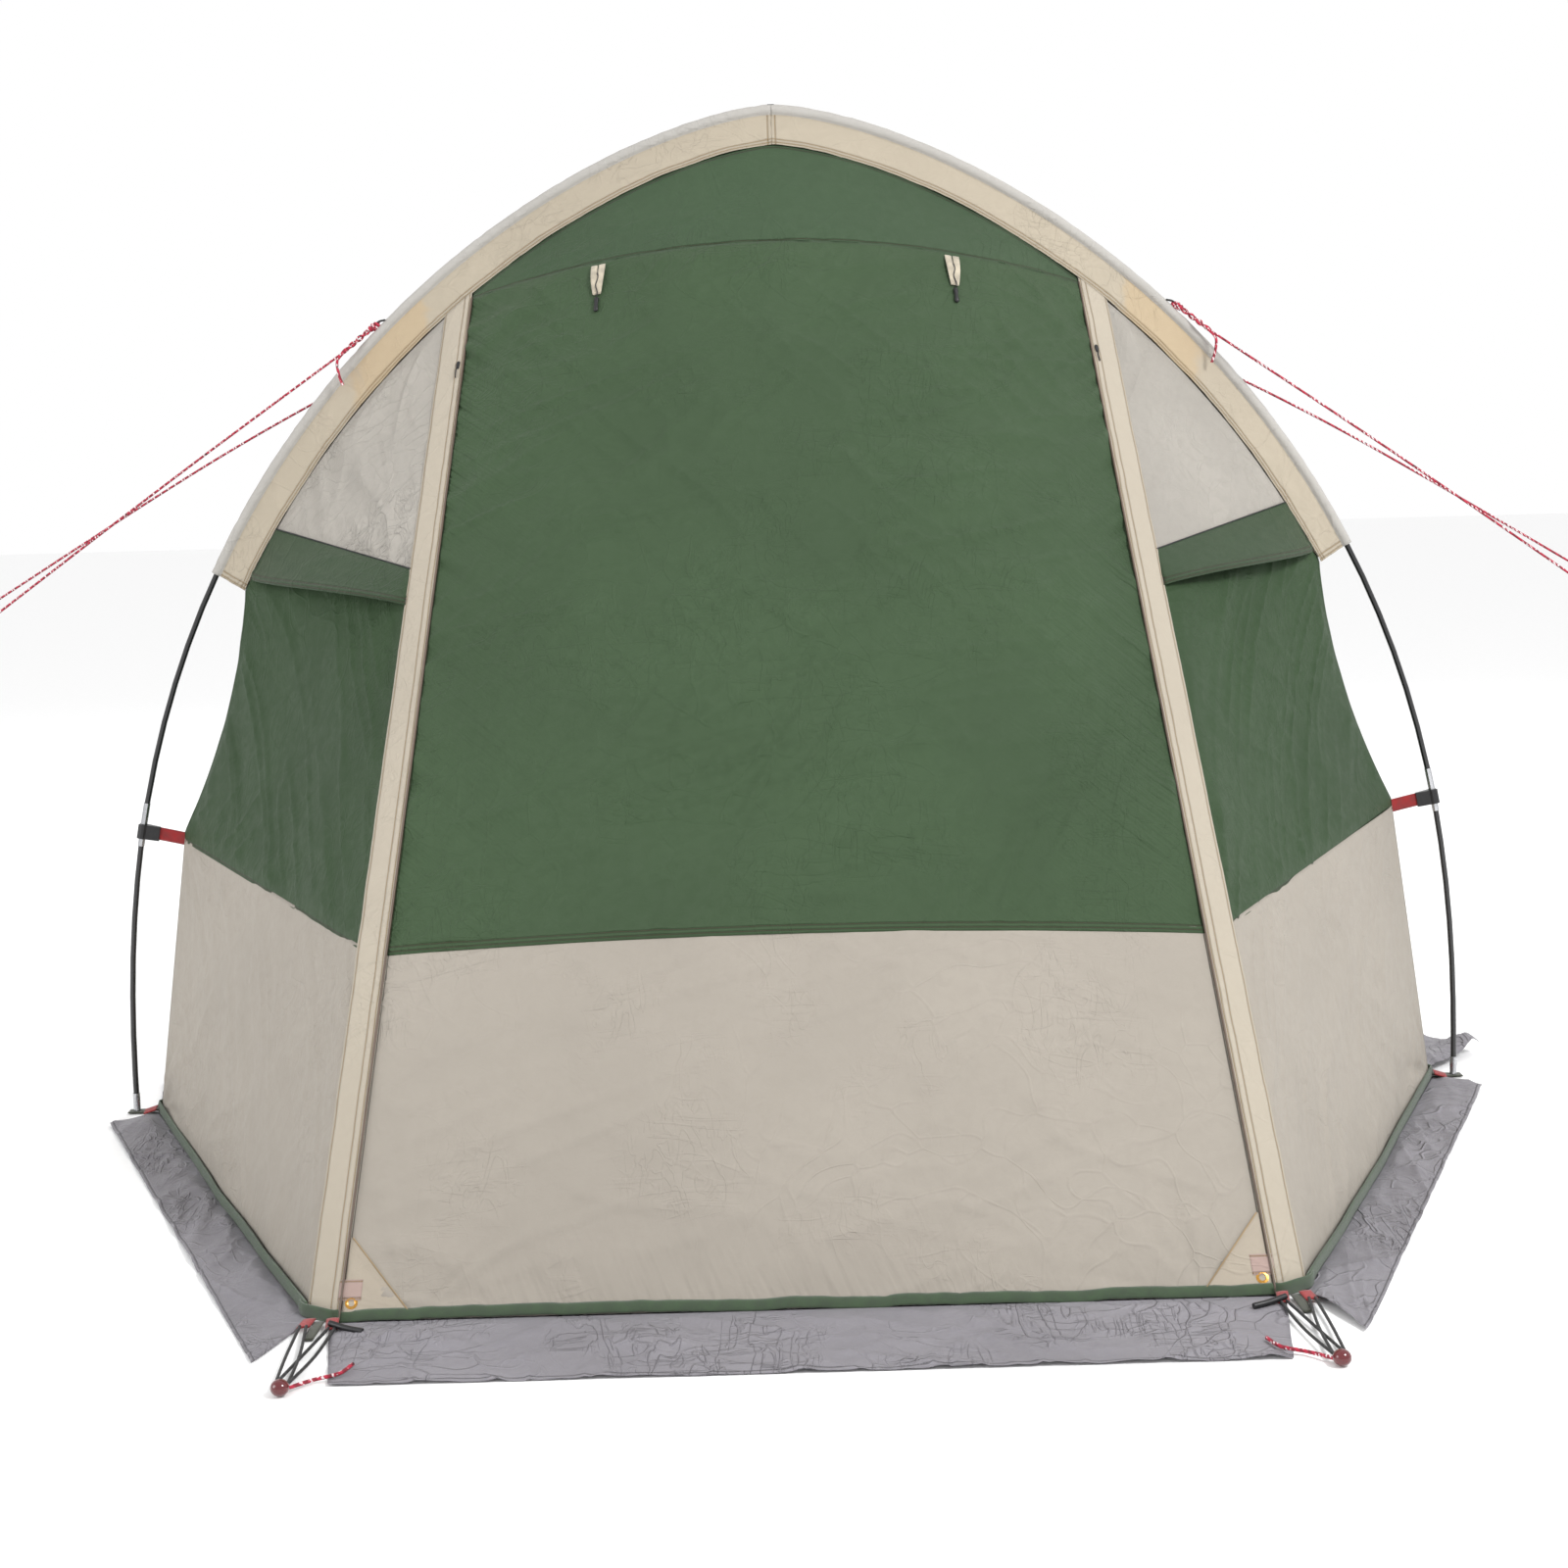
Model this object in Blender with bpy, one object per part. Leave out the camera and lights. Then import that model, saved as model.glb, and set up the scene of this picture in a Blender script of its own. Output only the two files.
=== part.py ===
"""A one-hoop family tent: a jointed fibreglass hoop in a sleeve, front and rear walls that slope
down from it to a six-sided base, and a front wall that unzips and lifts as an awning.
Metres, +Z up, the front faces -Y, +X is the tent's right as seen from the front. The origin is
on the ground below the middle of the hoop."""

import math

import bmesh
import bpy
import numpy as np
from mathutils import Vector

# Hoop: a superellipse that stands in the plane y = 0.
HOOP_HALF_SPAN = 1.300
HOOP_HEIGHT = 1.890
HOOP_SIDE_POWER = 1.54
HOOP_TOP_POWER = 2.40
FOOT_SECTION_LENGTH = 0.578
SECTIONS_A_SIDE = 4
STATIONS_A_SIDE = 32
POLE_RADIUS = 0.0055
POLE_WALL = 0.0019
POLE_BORE_RADIUS = POLE_RADIUS - POLE_WALL
POLE_SIDES = 8
SHOCK_CORD_RADIUS = 0.0013
FERRULE_WALL = 0.0008
FERRULE_HALF_LENGTH = 0.0425
SLIP_CLEARANCE = 0.00035
SOCKET_BORE = POLE_RADIUS + SLIP_CLEARANCE
SOCKET_RADIUS = SOCKET_BORE + FERRULE_WALL
SOCKET_STEP = 0.0004
TIP_CLEARANCE = 0.00055
TIP_BORE = POLE_RADIUS + TIP_CLEARANCE
TIP_RADIUS = TIP_BORE + 0.0007
TIP_RIM_RADIUS = 0.0030
TIP_CHAMFER = 0.0008
TIP_LENGTH = 0.036
TIP_FOOT = 0.004
TIP_BASE_Z = 0.0045

# Sleeve with the two eave bands that hang from it.
SLEEVE_EASE = 0.00385
SLEEVE_RADIUS = SOCKET_RADIUS + SLEEVE_EASE
SLEEVE_FABRIC = 0.0012
SLEEVE_END_HEIGHT = 1.058
SLEEVE_SLIT_ANGLE = 150.0
SLEEVE_ARC_STEPS = 6
BAND_INSET = 0.065
BAND_FORWARD = 0.035

# Floor plan and walls.
FRONT_HALF_WIDTH = 0.700
FRONT_DEPTH = 1.200
STRIP_TOP_HALF_WIDTH = 0.571
STRIP_WIDTH = 0.055
CORNER_FROM_FOOT = 0.048
CORNER_HALF_WIDTH = HOOP_HALF_SPAN - CORNER_FROM_FOOT
STRAP_CORNER_FROM_HOOP = 0.0817
STRAP_CORNER_BELOW_CLIP = 0.0016
CORNER_EDGE_HOLLOW = 0.022
FABRIC = 0.0015
SEAM_GAP = 0.0006
CORNER_GAP = FABRIC * 0.8
WALL_GAP = 0.003
WALL_BASE_Z = 0.004
HEM_LENGTH = 0.610
TOP_SEAM_SHORTFALL = 0.008
SIDE_SEAM_FRONT_Z = 0.490
SIDE_SEAM_REAR_Z = 0.545
HOOD_LOW_FRONT_Z = 1.015
HOOD_LOW_REAR_Z = 1.044
HOOD_HIGH_FRONT_Z = 1.072
HOOD_HIGH_REAR_Z = 1.138
HOOD_STAND_OFF = 0.016
VENT_TIP_WIDTH = 0.012

# Ground skirts.
SKIRT_THICKNESS = 0.0016
FRONT_SKIRT_WIDTH = 0.245
SKIRT_TAPER = 0.040
SIDE_SKIRT_WIDTH = 0.115
SIDE_SKIRT_CORNER_REACH = 0.090
SIDE_SKIRT_HOOP_TAPER = 0.055
SKIRT_END_GAP = 0.020
SKIRT_START_SHARE = 0.4

# Webbing, clips and hardware.
STRAP_HEIGHT = 0.025
STRAP_THICKNESS = 0.0016
STRAP_FROM_SEAM = 0.004
CLIP_HEIGHT = 0.028
CLIP_ABOVE_FERRULE_END = 0.029
CLIP_WALL = 0.0038
CLIP_CLEARANCE = 0.0006
CLIP_MOUTH_ANGLE = 34.0
CLIP_BRACKET_LENGTH = 0.026
CLIP_BRACKET_THICKNESS = 0.006
CLIP_STRAP_GAP = 0.0005
FOOT_STRAP_WIDTH = 0.025
FOOT_STRAP_TAIL = 0.016
FOOT_STRAP_Z = 0.0022
GROMMET_RADIUS = 0.0095
GROMMET_HOLE_RADIUS = 0.0050
GROMMET_THICKNESS = 0.0036
GROMMET_CLEARANCE = 0.0004
GROMMET_FROM_EDGE = 0.020
GROMMET_FROM_BASE = 0.030
LOOP_HALF_SPACING = 0.322
LOOP_WIDTH = 0.024
LOOP_LENGTH = 0.068
LOOP_DROP_BELOW_SEAM = 0.012
LOOP_THICKNESS = 0.0025
LOOP_STAND_OFF = 0.0015
TOGGLE_LENGTH = 0.034
TOGGLE_RADIUS = 0.0045
SLIDER_LENGTH = 0.016
SLIDER_WIDTH = 0.008
SLIDER_THICKNESS = 0.0035
PULL_LENGTH = 0.022
PULL_WIDTH = 0.005
PULL_THICKNESS = 0.0015
SLIDER_STAND_OFF = 0.0008
SLIDER_FROM_TOP = 0.165
PEG_HALF_SPACING = FRONT_HALF_WIDTH + 0.028
PEG_DEPTH = FRONT_DEPTH + 0.273
PEG_HEAD_RADIUS = 0.013
REAR_SKIRT_WIDTH = PEG_DEPTH + PEG_HEAD_RADIUS - FRONT_DEPTH

# Guy ropes.
ROPE_RADIUS = 0.0018
ROPE_POINTS = 34
GUY_SHARE = 0.6626
FRONT_GUY_ROUTE = ((0.052, -0.020, -0.026), (0.412, -0.075, -0.280), (0.822, -0.130, -0.578))
REAR_GUY_ROUTE = ((-0.048, 0.070, -0.033), (0.362, 0.120, -0.238), (0.902, 0.190, -0.548))

LEFT, RIGHT = -1, 1
FRONT, REAR = 1, -1


def clear_scene():
    for obj in list(bpy.data.objects):
        bpy.data.objects.remove(obj, do_unlink=True)


def material(name, color, roughness, metallic=0.0):
    """One Principled material, made once for each name."""
    made = bpy.data.materials.get(name)
    if made:
        return made
    made = bpy.data.materials.new(name)
    made.use_nodes = True
    shader = made.node_tree.nodes["Principled BSDF"]
    shader.inputs["Base Color"].default_value = (*color, 1.0)
    shader.inputs["Roughness"].default_value = roughness
    shader.inputs["Metallic"].default_value = metallic
    return made


MATERIALS = {
    "fibreglass": ((0.012, 0.012, 0.014), 0.35, 0.0),
    "elastic": ((0.60, 0.60, 0.58), 0.8, 0.0),
    "aluminium": ((0.72, 0.72, 0.73), 0.32, 1.0),
    "brass": ((0.72, 0.52, 0.20), 0.3, 1.0),
    "black_plastic": ((0.012, 0.012, 0.012), 0.4, 0.0),
    "red_plastic": ((0.25, 0.006, 0.012), 0.25, 0.0),
    "green_fabric": ((0.090, 0.145, 0.078), 0.75, 0.0),
    "beige_fabric": ((0.545, 0.497, 0.435), 0.75, 0.0),
    "cream_fabric": ((0.700, 0.650, 0.540), 0.75, 0.0),
    "vent_fabric": ((0.580, 0.560, 0.530), 0.7, 0.0),
    "grey_film": ((0.330, 0.325, 0.350), 0.6, 0.0),
    "red_webbing": ((0.330, 0.007, 0.010), 0.7, 0.0),
    "olive_webbing": ((0.045, 0.050, 0.030), 0.8, 0.0),
    "red_rope": ((0.420, 0.012, 0.030), 0.8, 0.0),
}


def finish_object(name, mesh, material_name):
    obj = bpy.data.objects.new(name, mesh)
    bpy.context.scene.collection.objects.link(obj)
    color, roughness, metallic = MATERIALS[material_name]
    obj.data.materials.append(material(material_name, color, roughness, metallic))
    return obj


def mesh_object(name, points, faces, material_name, smooth=False, origin=None):
    """A closed mesh from world points, its normals turned outwards and its origin where asked."""
    shift = Vector(origin) if origin is not None else Vector((0, 0, 0))
    mesh = bpy.data.meshes.new(name)
    mesh.from_pydata([tuple(Vector(p) - shift) for p in points], [], faces)
    bm = bmesh.new()
    bm.from_mesh(mesh)
    bmesh.ops.recalc_face_normals(bm, faces=bm.faces)
    if bm.calc_volume(signed=True) < 0:
        bmesh.ops.reverse_faces(bm, faces=bm.faces)
    bm.to_mesh(mesh)
    bm.free()
    if smooth:
        mesh.shade_smooth()
        mesh.set_sharp_from_angle(angle=math.radians(40))
    obj = finish_object(name, mesh, material_name)
    obj.location = shift
    return obj


def loft(name, rings, material_name, smooth=False, origin=None):
    """A solid through rings of points that match one to one, with a cap on each end ring."""
    count = len(rings[0])
    points = [p for ring in rings for p in ring]
    faces = []
    for i in range(len(rings) - 1):
        for j in range(count):
            k = (j + 1) % count
            faces.append((i * count + j, i * count + k, (i + 1) * count + k, (i + 1) * count + j))
    last = (len(rings) - 1) * count
    faces.append(tuple(range(count)))
    faces.append(tuple(last + j for j in range(count)))
    return mesh_object(name, points, faces, material_name, smooth, origin)


def sheet(name, grid, material_name, outward, thickness=FABRIC, origin=None):
    """A grid of points made a closed sheet, thickened on the side that faces outward."""
    grid = np.asarray(grid, float)
    rows, columns, _ = grid.shape
    along = np.gradient(grid, axis=0)
    across = np.gradient(grid, axis=1)
    normals = np.cross(across, along)
    normals /= np.linalg.norm(normals, axis=2, keepdims=True)
    guide = np.asarray(outward, float)
    if (normals.reshape(-1, 3).mean(axis=0) @ guide) < 0:
        normals = -normals
    outer = grid + normals * thickness
    points = [tuple(p) for p in grid.reshape(-1, 3)] + [tuple(p) for p in outer.reshape(-1, 3)]
    size = rows * columns
    faces = []
    for i in range(rows - 1):
        for j in range(columns - 1):
            a, b = i * columns + j, i * columns + j + 1
            c, d = a + columns, b + columns
            faces.append((a, b, d, c))
            faces.append((a + size, c + size, d + size, b + size))
    rim = [j for j in range(columns)]
    rim += [i * columns + columns - 1 for i in range(1, rows)]
    rim += [(rows - 1) * columns + j for j in range(columns - 2, -1, -1)]
    rim += [i * columns for i in range(rows - 2, 0, -1)]
    for a, b in zip(rim, rim[1:] + rim[:1]):
        faces.append((a, b, b + size, a + size))
    return mesh_object(name, points, faces, material_name, origin=origin)


def plate(name, outline, low, high, material_name):
    """A flat plate between two heights, its outline given as plan points in order."""
    rings = [[(x, y, z) for x, y in outline] for z in (low, high)]
    return loft(name, rings, material_name)


def box_frame(centre, u, v, w, size):
    """The eight corners of a box whose edges run along u, v and w, as two rings."""
    centre, u, v, w = (Vector(p) for p in (centre, u, v, w))
    rings = []
    for level in (-0.5, 0.5):
        ring = []
        for a, b in ((-0.5, -0.5), (0.5, -0.5), (0.5, 0.5), (-0.5, 0.5)):
            ring.append(tuple(centre + u * (a * size[0]) + v * (b * size[1]) + w * (level * size[2])))
        rings.append(ring)
    return rings


# ---- the hoop's curve ------------------------------------------------------------------------


def quarter_hoop():
    """The right half of the hoop from its foot to its apex: length, then x and z along it."""
    angle = np.linspace(0.0, math.pi / 2, 4001)
    x = HOOP_HALF_SPAN * np.cos(angle).clip(0) ** (2 / HOOP_SIDE_POWER)
    z = HOOP_HEIGHT * np.sin(angle).clip(0) ** (2 / HOOP_TOP_POWER)
    steps = np.hypot(np.diff(x), np.diff(z))
    return np.concatenate([[0.0], np.cumsum(steps)]), x, z


HOOP_LENGTHS, HOOP_X, HOOP_Z = quarter_hoop()
HALF_LENGTH = float(HOOP_LENGTHS[-1])
STATION_STEP = HALF_LENGTH / STATIONS_A_SIDE


def hoop_point(s):
    """The hoop's centre line at length s from the right foot; past the apex it goes down the left."""
    side = 1.0 if s <= HALF_LENGTH else -1.0
    reach = min(s, 2 * HALF_LENGTH - s)
    x = float(np.interp(reach, HOOP_LENGTHS, HOOP_X))
    z = float(np.interp(reach, HOOP_LENGTHS, HOOP_Z))
    return np.array([side * x, 0.0, z])


def hoop_frame(s):
    """Point, tangent and outward normal at s, averaged over one station step each way."""
    low = max(s - STATION_STEP / 2, 0.0)
    high = min(s + STATION_STEP / 2, 2 * HALF_LENGTH)
    tangent = hoop_point(high) - hoop_point(low)
    tangent /= np.linalg.norm(tangent)
    normal = np.array([tangent[2], 0.0, -tangent[0]])
    return hoop_point(s), tangent, normal


def joint_length(index):
    """Length from the foot at which section number index begins; 4 is the apex."""
    if index == 0:
        return 0.0
    return FOOT_SECTION_LENGTH + (HALF_LENGTH - FOOT_SECTION_LENGTH) * (index - 1) / (SECTIONS_A_SIDE - 1)


def hoop_length_at(height):
    """Length from the foot at which the right half of the hoop reaches this height."""
    return float(np.interp(height, HOOP_Z, HOOP_LENGTHS))


def hoop_offset(s, inwards, y):
    """A point off the centre line: inwards in the hoop's plane, then y to the front or rear."""
    point, _, normal = hoop_frame(s)
    return point - normal * inwards + np.array([0.0, y, 0.0])


def stations(start, end):
    """Both ends and every whole station between them, so that neighbours bend alike. The two ends of
    the apex socket are stations too, where the hoop turns most."""
    inner = [k * STATION_STEP for k in range(1, 2 * STATIONS_A_SIDE)]
    inner += [HALF_LENGTH - FERRULE_HALF_LENGTH, HALF_LENGTH + FERRULE_HALF_LENGTH]
    inner.sort()
    margin = STATION_STEP * 0.2
    return [start] + [s for s in inner if start + margin < s < end - margin] + [end]


def ring_at(s, radius, sides=POLE_SIDES):
    point, _, normal = hoop_frame(s)
    across = np.array([0.0, 1.0, 0.0])
    turn = [2 * math.pi * (k + 0.5) / sides for k in range(sides)]
    return [tuple(point + radius * (math.cos(a) * normal + math.sin(a) * across)) for a in turn]


def tube(name, profile, material_name):
    """A hollow piece along the hoop from (length, outer radius, bore radius) steps, open at its ends."""
    outer = [ring_at(s, r_out) for s, r_out, _ in profile]
    inner = [ring_at(s, r_in) for s, _, r_in in profile]
    rings = outer + inner[::-1]
    sides = len(rings[0])
    points = [p for ring in rings for p in ring]
    faces = []
    for i in range(len(rings)):
        k = (i + 1) % len(rings)
        for j in range(sides):
            m = (j + 1) % sides
            faces.append((i * sides + j, i * sides + m, k * sides + m, k * sides + j))
    return mesh_object(name, points, faces, material_name, smooth=True)


def mirrored(s):
    return 2 * HALF_LENGTH - s


def hoop_sections():
    """Eight sections. Each side's foot section meets the next in a bare metal ferrule; the joints
    inside the sleeve have their ferrule on the lower section, and the last one spans the apex."""
    names = ("foot", "leg", "shoulder", "crown")
    for side, tag in ((RIGHT, "right"), (LEFT, "left")):
        for index, label in enumerate(names):
            start = joint_length(index) + SLIP_CLEARANCE
            if label == "foot":
                start = hoop_length_at(TIP_BASE_Z + TIP_FOOT) + SLIP_CLEARANCE
            is_left_crown = label == "crown" and side == LEFT
            socket = label != "foot" and not is_left_crown
            profile = section_profile(start, index, socket)
            if side == LEFT:
                profile = [(mirrored(s), r_out, r_in) for s, r_out, r_in in profile]
            tube(f"pole_{label}_{tag}", profile, "fibreglass")


def section_profile(start, index, socket):
    """Steps of (length, outer radius, bore radius) from a section's lower end to its joint."""
    joint = joint_length(index + 1)
    steps = [(start, POLE_RADIUS, POLE_BORE_RADIUS)]
    first = start
    if index > 0:
        first = joint_length(index) + FERRULE_HALF_LENGTH
        steps.append((first, POLE_RADIUS, POLE_BORE_RADIUS))
    last = joint - FERRULE_HALF_LENGTH
    for s in stations(first, last)[1:]:
        steps.append((s, POLE_RADIUS, POLE_BORE_RADIUS))
    if not socket:
        steps.append((joint - SLIP_CLEARANCE, POLE_RADIUS, POLE_BORE_RADIUS))
        return steps
    steps.append((last + SOCKET_STEP, SOCKET_RADIUS, POLE_BORE_RADIUS))
    steps.append((joint - SOCKET_STEP, SOCKET_RADIUS, POLE_BORE_RADIUS))
    steps.append((joint, SOCKET_RADIUS, SOCKET_BORE))
    steps.append((joint + FERRULE_HALF_LENGTH, SOCKET_RADIUS, SOCKET_BORE))
    return steps


def bare_ferrules():
    """The two metal tubes over the joints that stand clear of the sleeve."""
    low = FOOT_SECTION_LENGTH - FERRULE_HALF_LENGTH
    high = FOOT_SECTION_LENGTH + FERRULE_HALF_LENGTH
    for side, tag in ((RIGHT, "right"), (LEFT, "left")):
        steps = [(s, SOCKET_RADIUS, SOCKET_BORE) for s in (low, FOOT_SECTION_LENGTH, high)]
        if side == LEFT:
            steps = [(mirrored(s), a, b) for s, a, b in steps]
        tube(f"ferrule_{tag}", steps, "aluminium")


def pole_tips():
    """The metal caps that the hoop stands on: a blind cup over the pole's end."""
    sides = 16
    for side, tag in ((RIGHT, "right"), (LEFT, "left")):
        x = side * HOOP_HALF_SPAN
        floor = TIP_BASE_Z + TIP_FOOT
        steps = (
            (TIP_BASE_Z, TIP_RIM_RADIUS),
            (TIP_BASE_Z, TIP_RADIUS - TIP_CHAMFER),
            (TIP_BASE_Z + TIP_CHAMFER, TIP_RADIUS),
            (TIP_BASE_Z + TIP_LENGTH, TIP_RADIUS),
            (TIP_BASE_Z + TIP_LENGTH, TIP_BORE),
            (floor, TIP_BORE),
            (floor, TIP_RIM_RADIUS),
        )
        points = []
        for z, radius in steps:
            for k in range(sides):
                turn = 2 * math.pi * (k + 0.5) / sides
                points.append((x + radius * math.cos(turn), radius * math.sin(turn), z))
        faces = []
        for i in range(len(steps)):
            k = (i + 1) % len(steps)
            for j in range(sides):
                m = (j + 1) % sides
                faces.append((i * sides + j, i * sides + m, k * sides + m, k * sides + j))
        mesh_object(f"pole_tip_{tag}", points, faces, "aluminium", smooth=True)


def shock_cord():
    """The elastic that runs through all eight sections and is knotted in the two tips."""
    start = hoop_length_at(TIP_BASE_Z + TIP_FOOT) + 0.002
    route = stations(start, mirrored(start))
    cord("shock_cord", [tuple(hoop_point(s)) for s in route], SHOCK_CORD_RADIUS, "elastic")


def cord(name, points, radius, material_name):
    curve = bpy.data.curves.new(name, "CURVE")
    curve.dimensions = "3D"
    curve.bevel_depth = radius
    curve.bevel_resolution = 2
    curve.use_fill_caps = True
    spline = curve.splines.new("POLY")
    spline.points.add(len(points) - 1)
    for slot, point in zip(spline.points, points):
        slot.co = (*point, 1.0)
    return finish_object(name, curve, material_name)


# ---- sleeve and eave bands -------------------------------------------------------------------


def sleeve_section():
    """The sleeve's section as (outward, front) offsets from the pole: one strip of fabric that runs
    down the front band, round the pole and down the rear band."""
    arc = np.radians(np.linspace(SLEEVE_SLIT_ANGLE, -SLEEVE_SLIT_ANGLE, SLEEVE_ARC_STEPS + 1))
    outer = [(SLEEVE_RADIUS * math.cos(a), SLEEVE_RADIUS * math.sin(a)) for a in arc]
    bore = SLEEVE_RADIUS - SLEEVE_FABRIC
    inner = [(bore * math.cos(a), bore * math.sin(a)) for a in arc]
    tip_out = (-BAND_INSET, BAND_FORWARD)
    tip_in = (-BAND_INSET - SLEEVE_FABRIC * 0.4, BAND_FORWARD - SLEEVE_FABRIC)
    front = [tip_out]
    rear = [(tip_out[0], -tip_out[1]), (tip_in[0], -tip_in[1])]
    return front + outer + rear + inner[::-1] + [tip_in]


def sleeves():
    start = hoop_length_at(SLEEVE_END_HEIGHT)
    end = HALF_LENGTH - SEAM_GAP
    section = sleeve_section()
    for side, tag in ((RIGHT, "right"), (LEFT, "left")):
        rings = []
        for s in stations(start, end):
            point, _, normal = hoop_frame(s)
            if s == end:
                normal = np.array([0.0, 0.0, 1.0])
            ring = []
            for outward, forward in section:
                p = point + normal * outward + np.array([0.0, -forward, 0.0])
                ring.append((side * p[0], p[1], p[2]))
            rings.append(ring)
        loft(f"sleeve_{tag}", rings, "cream_fabric")


# ---- wall outlines -----------------------------------------------------------------------------


def band_edge(s):
    """The line just below the eave band where the wall begins, on the right and to the front."""
    return hoop_offset(s, BAND_INSET + WALL_GAP, -BAND_FORWARD)


def band_edge_length(x):
    """Length along the hoop at which the line below the band stands at this x."""
    lengths = np.linspace(HALF_LENGTH * 0.35, HALF_LENGTH - 0.001, 400)
    xs = np.array([band_edge(s)[0] for s in lengths])
    return float(np.interp(-x, -xs, lengths))


STRIP_FOOT = np.array([FRONT_HALF_WIDTH, -FRONT_DEPTH, 0.0])
STRIP_TOP_LENGTH = band_edge_length(STRIP_TOP_HALF_WIDTH)
STRIP_TOP = band_edge(STRIP_TOP_LENGTH)
STRIP_RUN = float(np.linalg.norm(STRIP_TOP - STRIP_FOOT))
STRIP_LINE = (STRIP_TOP - STRIP_FOOT) / STRIP_RUN
CENTRE_FOOT = np.array([0.0, -FRONT_DEPTH, 0.0])
CENTRE_TOP = band_edge(HALF_LENGTH - 0.001) * np.array([0.0, 1.0, 1.0])
CENTRE_LINE = (CENTRE_TOP - CENTRE_FOOT) / np.linalg.norm(CENTRE_TOP - CENTRE_FOOT)
TOP_SEAM = STRIP_RUN - TOP_SEAM_SHORTFALL

SIDE_PLAN = np.array([CORNER_HALF_WIDTH - FRONT_HALF_WIDTH, FRONT_DEPTH, 0.0])
SIDE_PLAN /= np.linalg.norm(SIDE_PLAN)
STRIP_ACROSS = np.array([1.0, 0.0, 0.0]) + SIDE_PLAN
STRIP_ACROSS /= np.linalg.norm(STRIP_ACROSS)


def front_wall(u, run, edge_gap=0.0):
    """The front wall at u across (-1 to 1) and a run of fabric up from the ground."""
    strip = STRIP_FOOT + STRIP_LINE * run
    centre = CENTRE_FOOT + CENTRE_LINE * run
    crown = 1.0 - u * u
    middle = strip + (centre - strip) * crown
    return np.array([u * (strip[0] - edge_gap), middle[1], middle[2]])


def run_at_height(height):
    return height / STRIP_LINE[2]


def clip_length():
    """Length along the hoop of the clip's middle, on the bare ferrule."""
    return FOOT_SECTION_LENGTH - FERRULE_HALF_LENGTH + CLIP_ABOVE_FERRULE_END


def strip_outer_foot():
    return STRIP_FOOT + STRIP_ACROSS * STRIP_WIDTH


def strip_outer_top():
    """Where the strip's outer edge runs into the line below the band."""
    x = STRIP_TOP[0] + STRIP_ACROSS[0] * STRIP_WIDTH
    return band_edge(band_edge_length(x))


def strip_outer(height):
    foot, top = strip_outer_foot(), strip_outer_top()
    return foot + (top - foot) * (height / top[2])


def strap_corner():
    """Where the strap pulls on the seam: just below the clip and in from the hoop."""
    clip = hoop_point(clip_length())
    return clip - np.array([STRAP_CORNER_FROM_HOOP, 0.0, STRAP_CORNER_BELOW_CLIP])


def corner_edge(height):
    """The seam in the hoop's plane where front and rear side walls meet, below the band's end."""
    pull = strap_corner()
    if height <= pull[2]:
        x = CORNER_HALF_WIDTH + (pull[0] - CORNER_HALF_WIDTH) * height / pull[2]
        return np.array([x, 0.0, height])
    top = band_edge(hoop_length_at(SLEEVE_END_HEIGHT))
    t = (height - pull[2]) / (top[2] - pull[2])
    x = pull[0] + (top[0] - pull[0]) * t
    x -= CORNER_EDGE_HOLLOW * 4 * t * (1 - t)
    return np.array([x, top[1] * t * t, height])


def rear_edge(height):
    """A side wall's rear edge: the corner seam, then the line below the band."""
    start = hoop_length_at(SLEEVE_END_HEIGHT)
    if height <= band_edge(start)[2]:
        return corner_edge(height)
    lengths = np.linspace(start, STRIP_TOP_LENGTH, 200)
    edge = np.array([band_edge(s) for s in lengths])
    return np.array([np.interp(height, edge[:, 2], edge[:, k]) for k in range(3)])


def strip_inner(height):
    return STRIP_FOOT + STRIP_LINE * run_at_height(height)


def side_wall(across, front_height, back_height, corner=strip_outer):
    """A side wall's point between the end wall's corner and the edge in the hoop's plane. At the
    front that corner is the strip's outer edge; at the rear, with no strip, it is the end wall's."""
    front = corner(front_height) + SIDE_PLAN * CORNER_GAP
    back = rear_edge(back_height) - np.array([0.0, SEAM_GAP * 2, 0.0])
    return front + (back - front) * across


def mirror(grid, side, end):
    """Takes a right-hand front grid to any of the four quarters."""
    return np.asarray(grid) * np.array([side, end, 1.0])


def outward_of(grid):
    middle = np.asarray(grid).reshape(-1, 3).mean(axis=0)
    return np.array([middle[0], middle[1], 0.4])


# ---- walls -------------------------------------------------------------------------------------


def wall_rows(runs, shares, edge_gap):
    """A grid over the front wall; the shares are the columns' places from the middle to one edge."""
    us = [-u for u in shares[:0:-1]] + list(shares)
    return np.array([[front_wall(u, run, edge_gap) for u in us] for run in runs])


def gusset_grid():
    """Between the top seam and the eave band; its pointed ends are kept open by the seam gap."""
    reach = 0.975
    us = np.linspace(-reach, reach, 15)
    grid = []
    for t in (0.0, 0.5, 1.0):
        row = []
        for u in us:
            low = front_wall(u, TOP_SEAM + SEAM_GAP * 3, SEAM_GAP)
            x = abs(low[0])
            high = band_edge(band_edge_length(x)) if x > 0.004 else CENTRE_TOP
            high = np.array([low[0], high[1], high[2]])
            row.append(low + (high - low) * t)
        grid.append(row)
    return np.array(grid)


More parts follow.
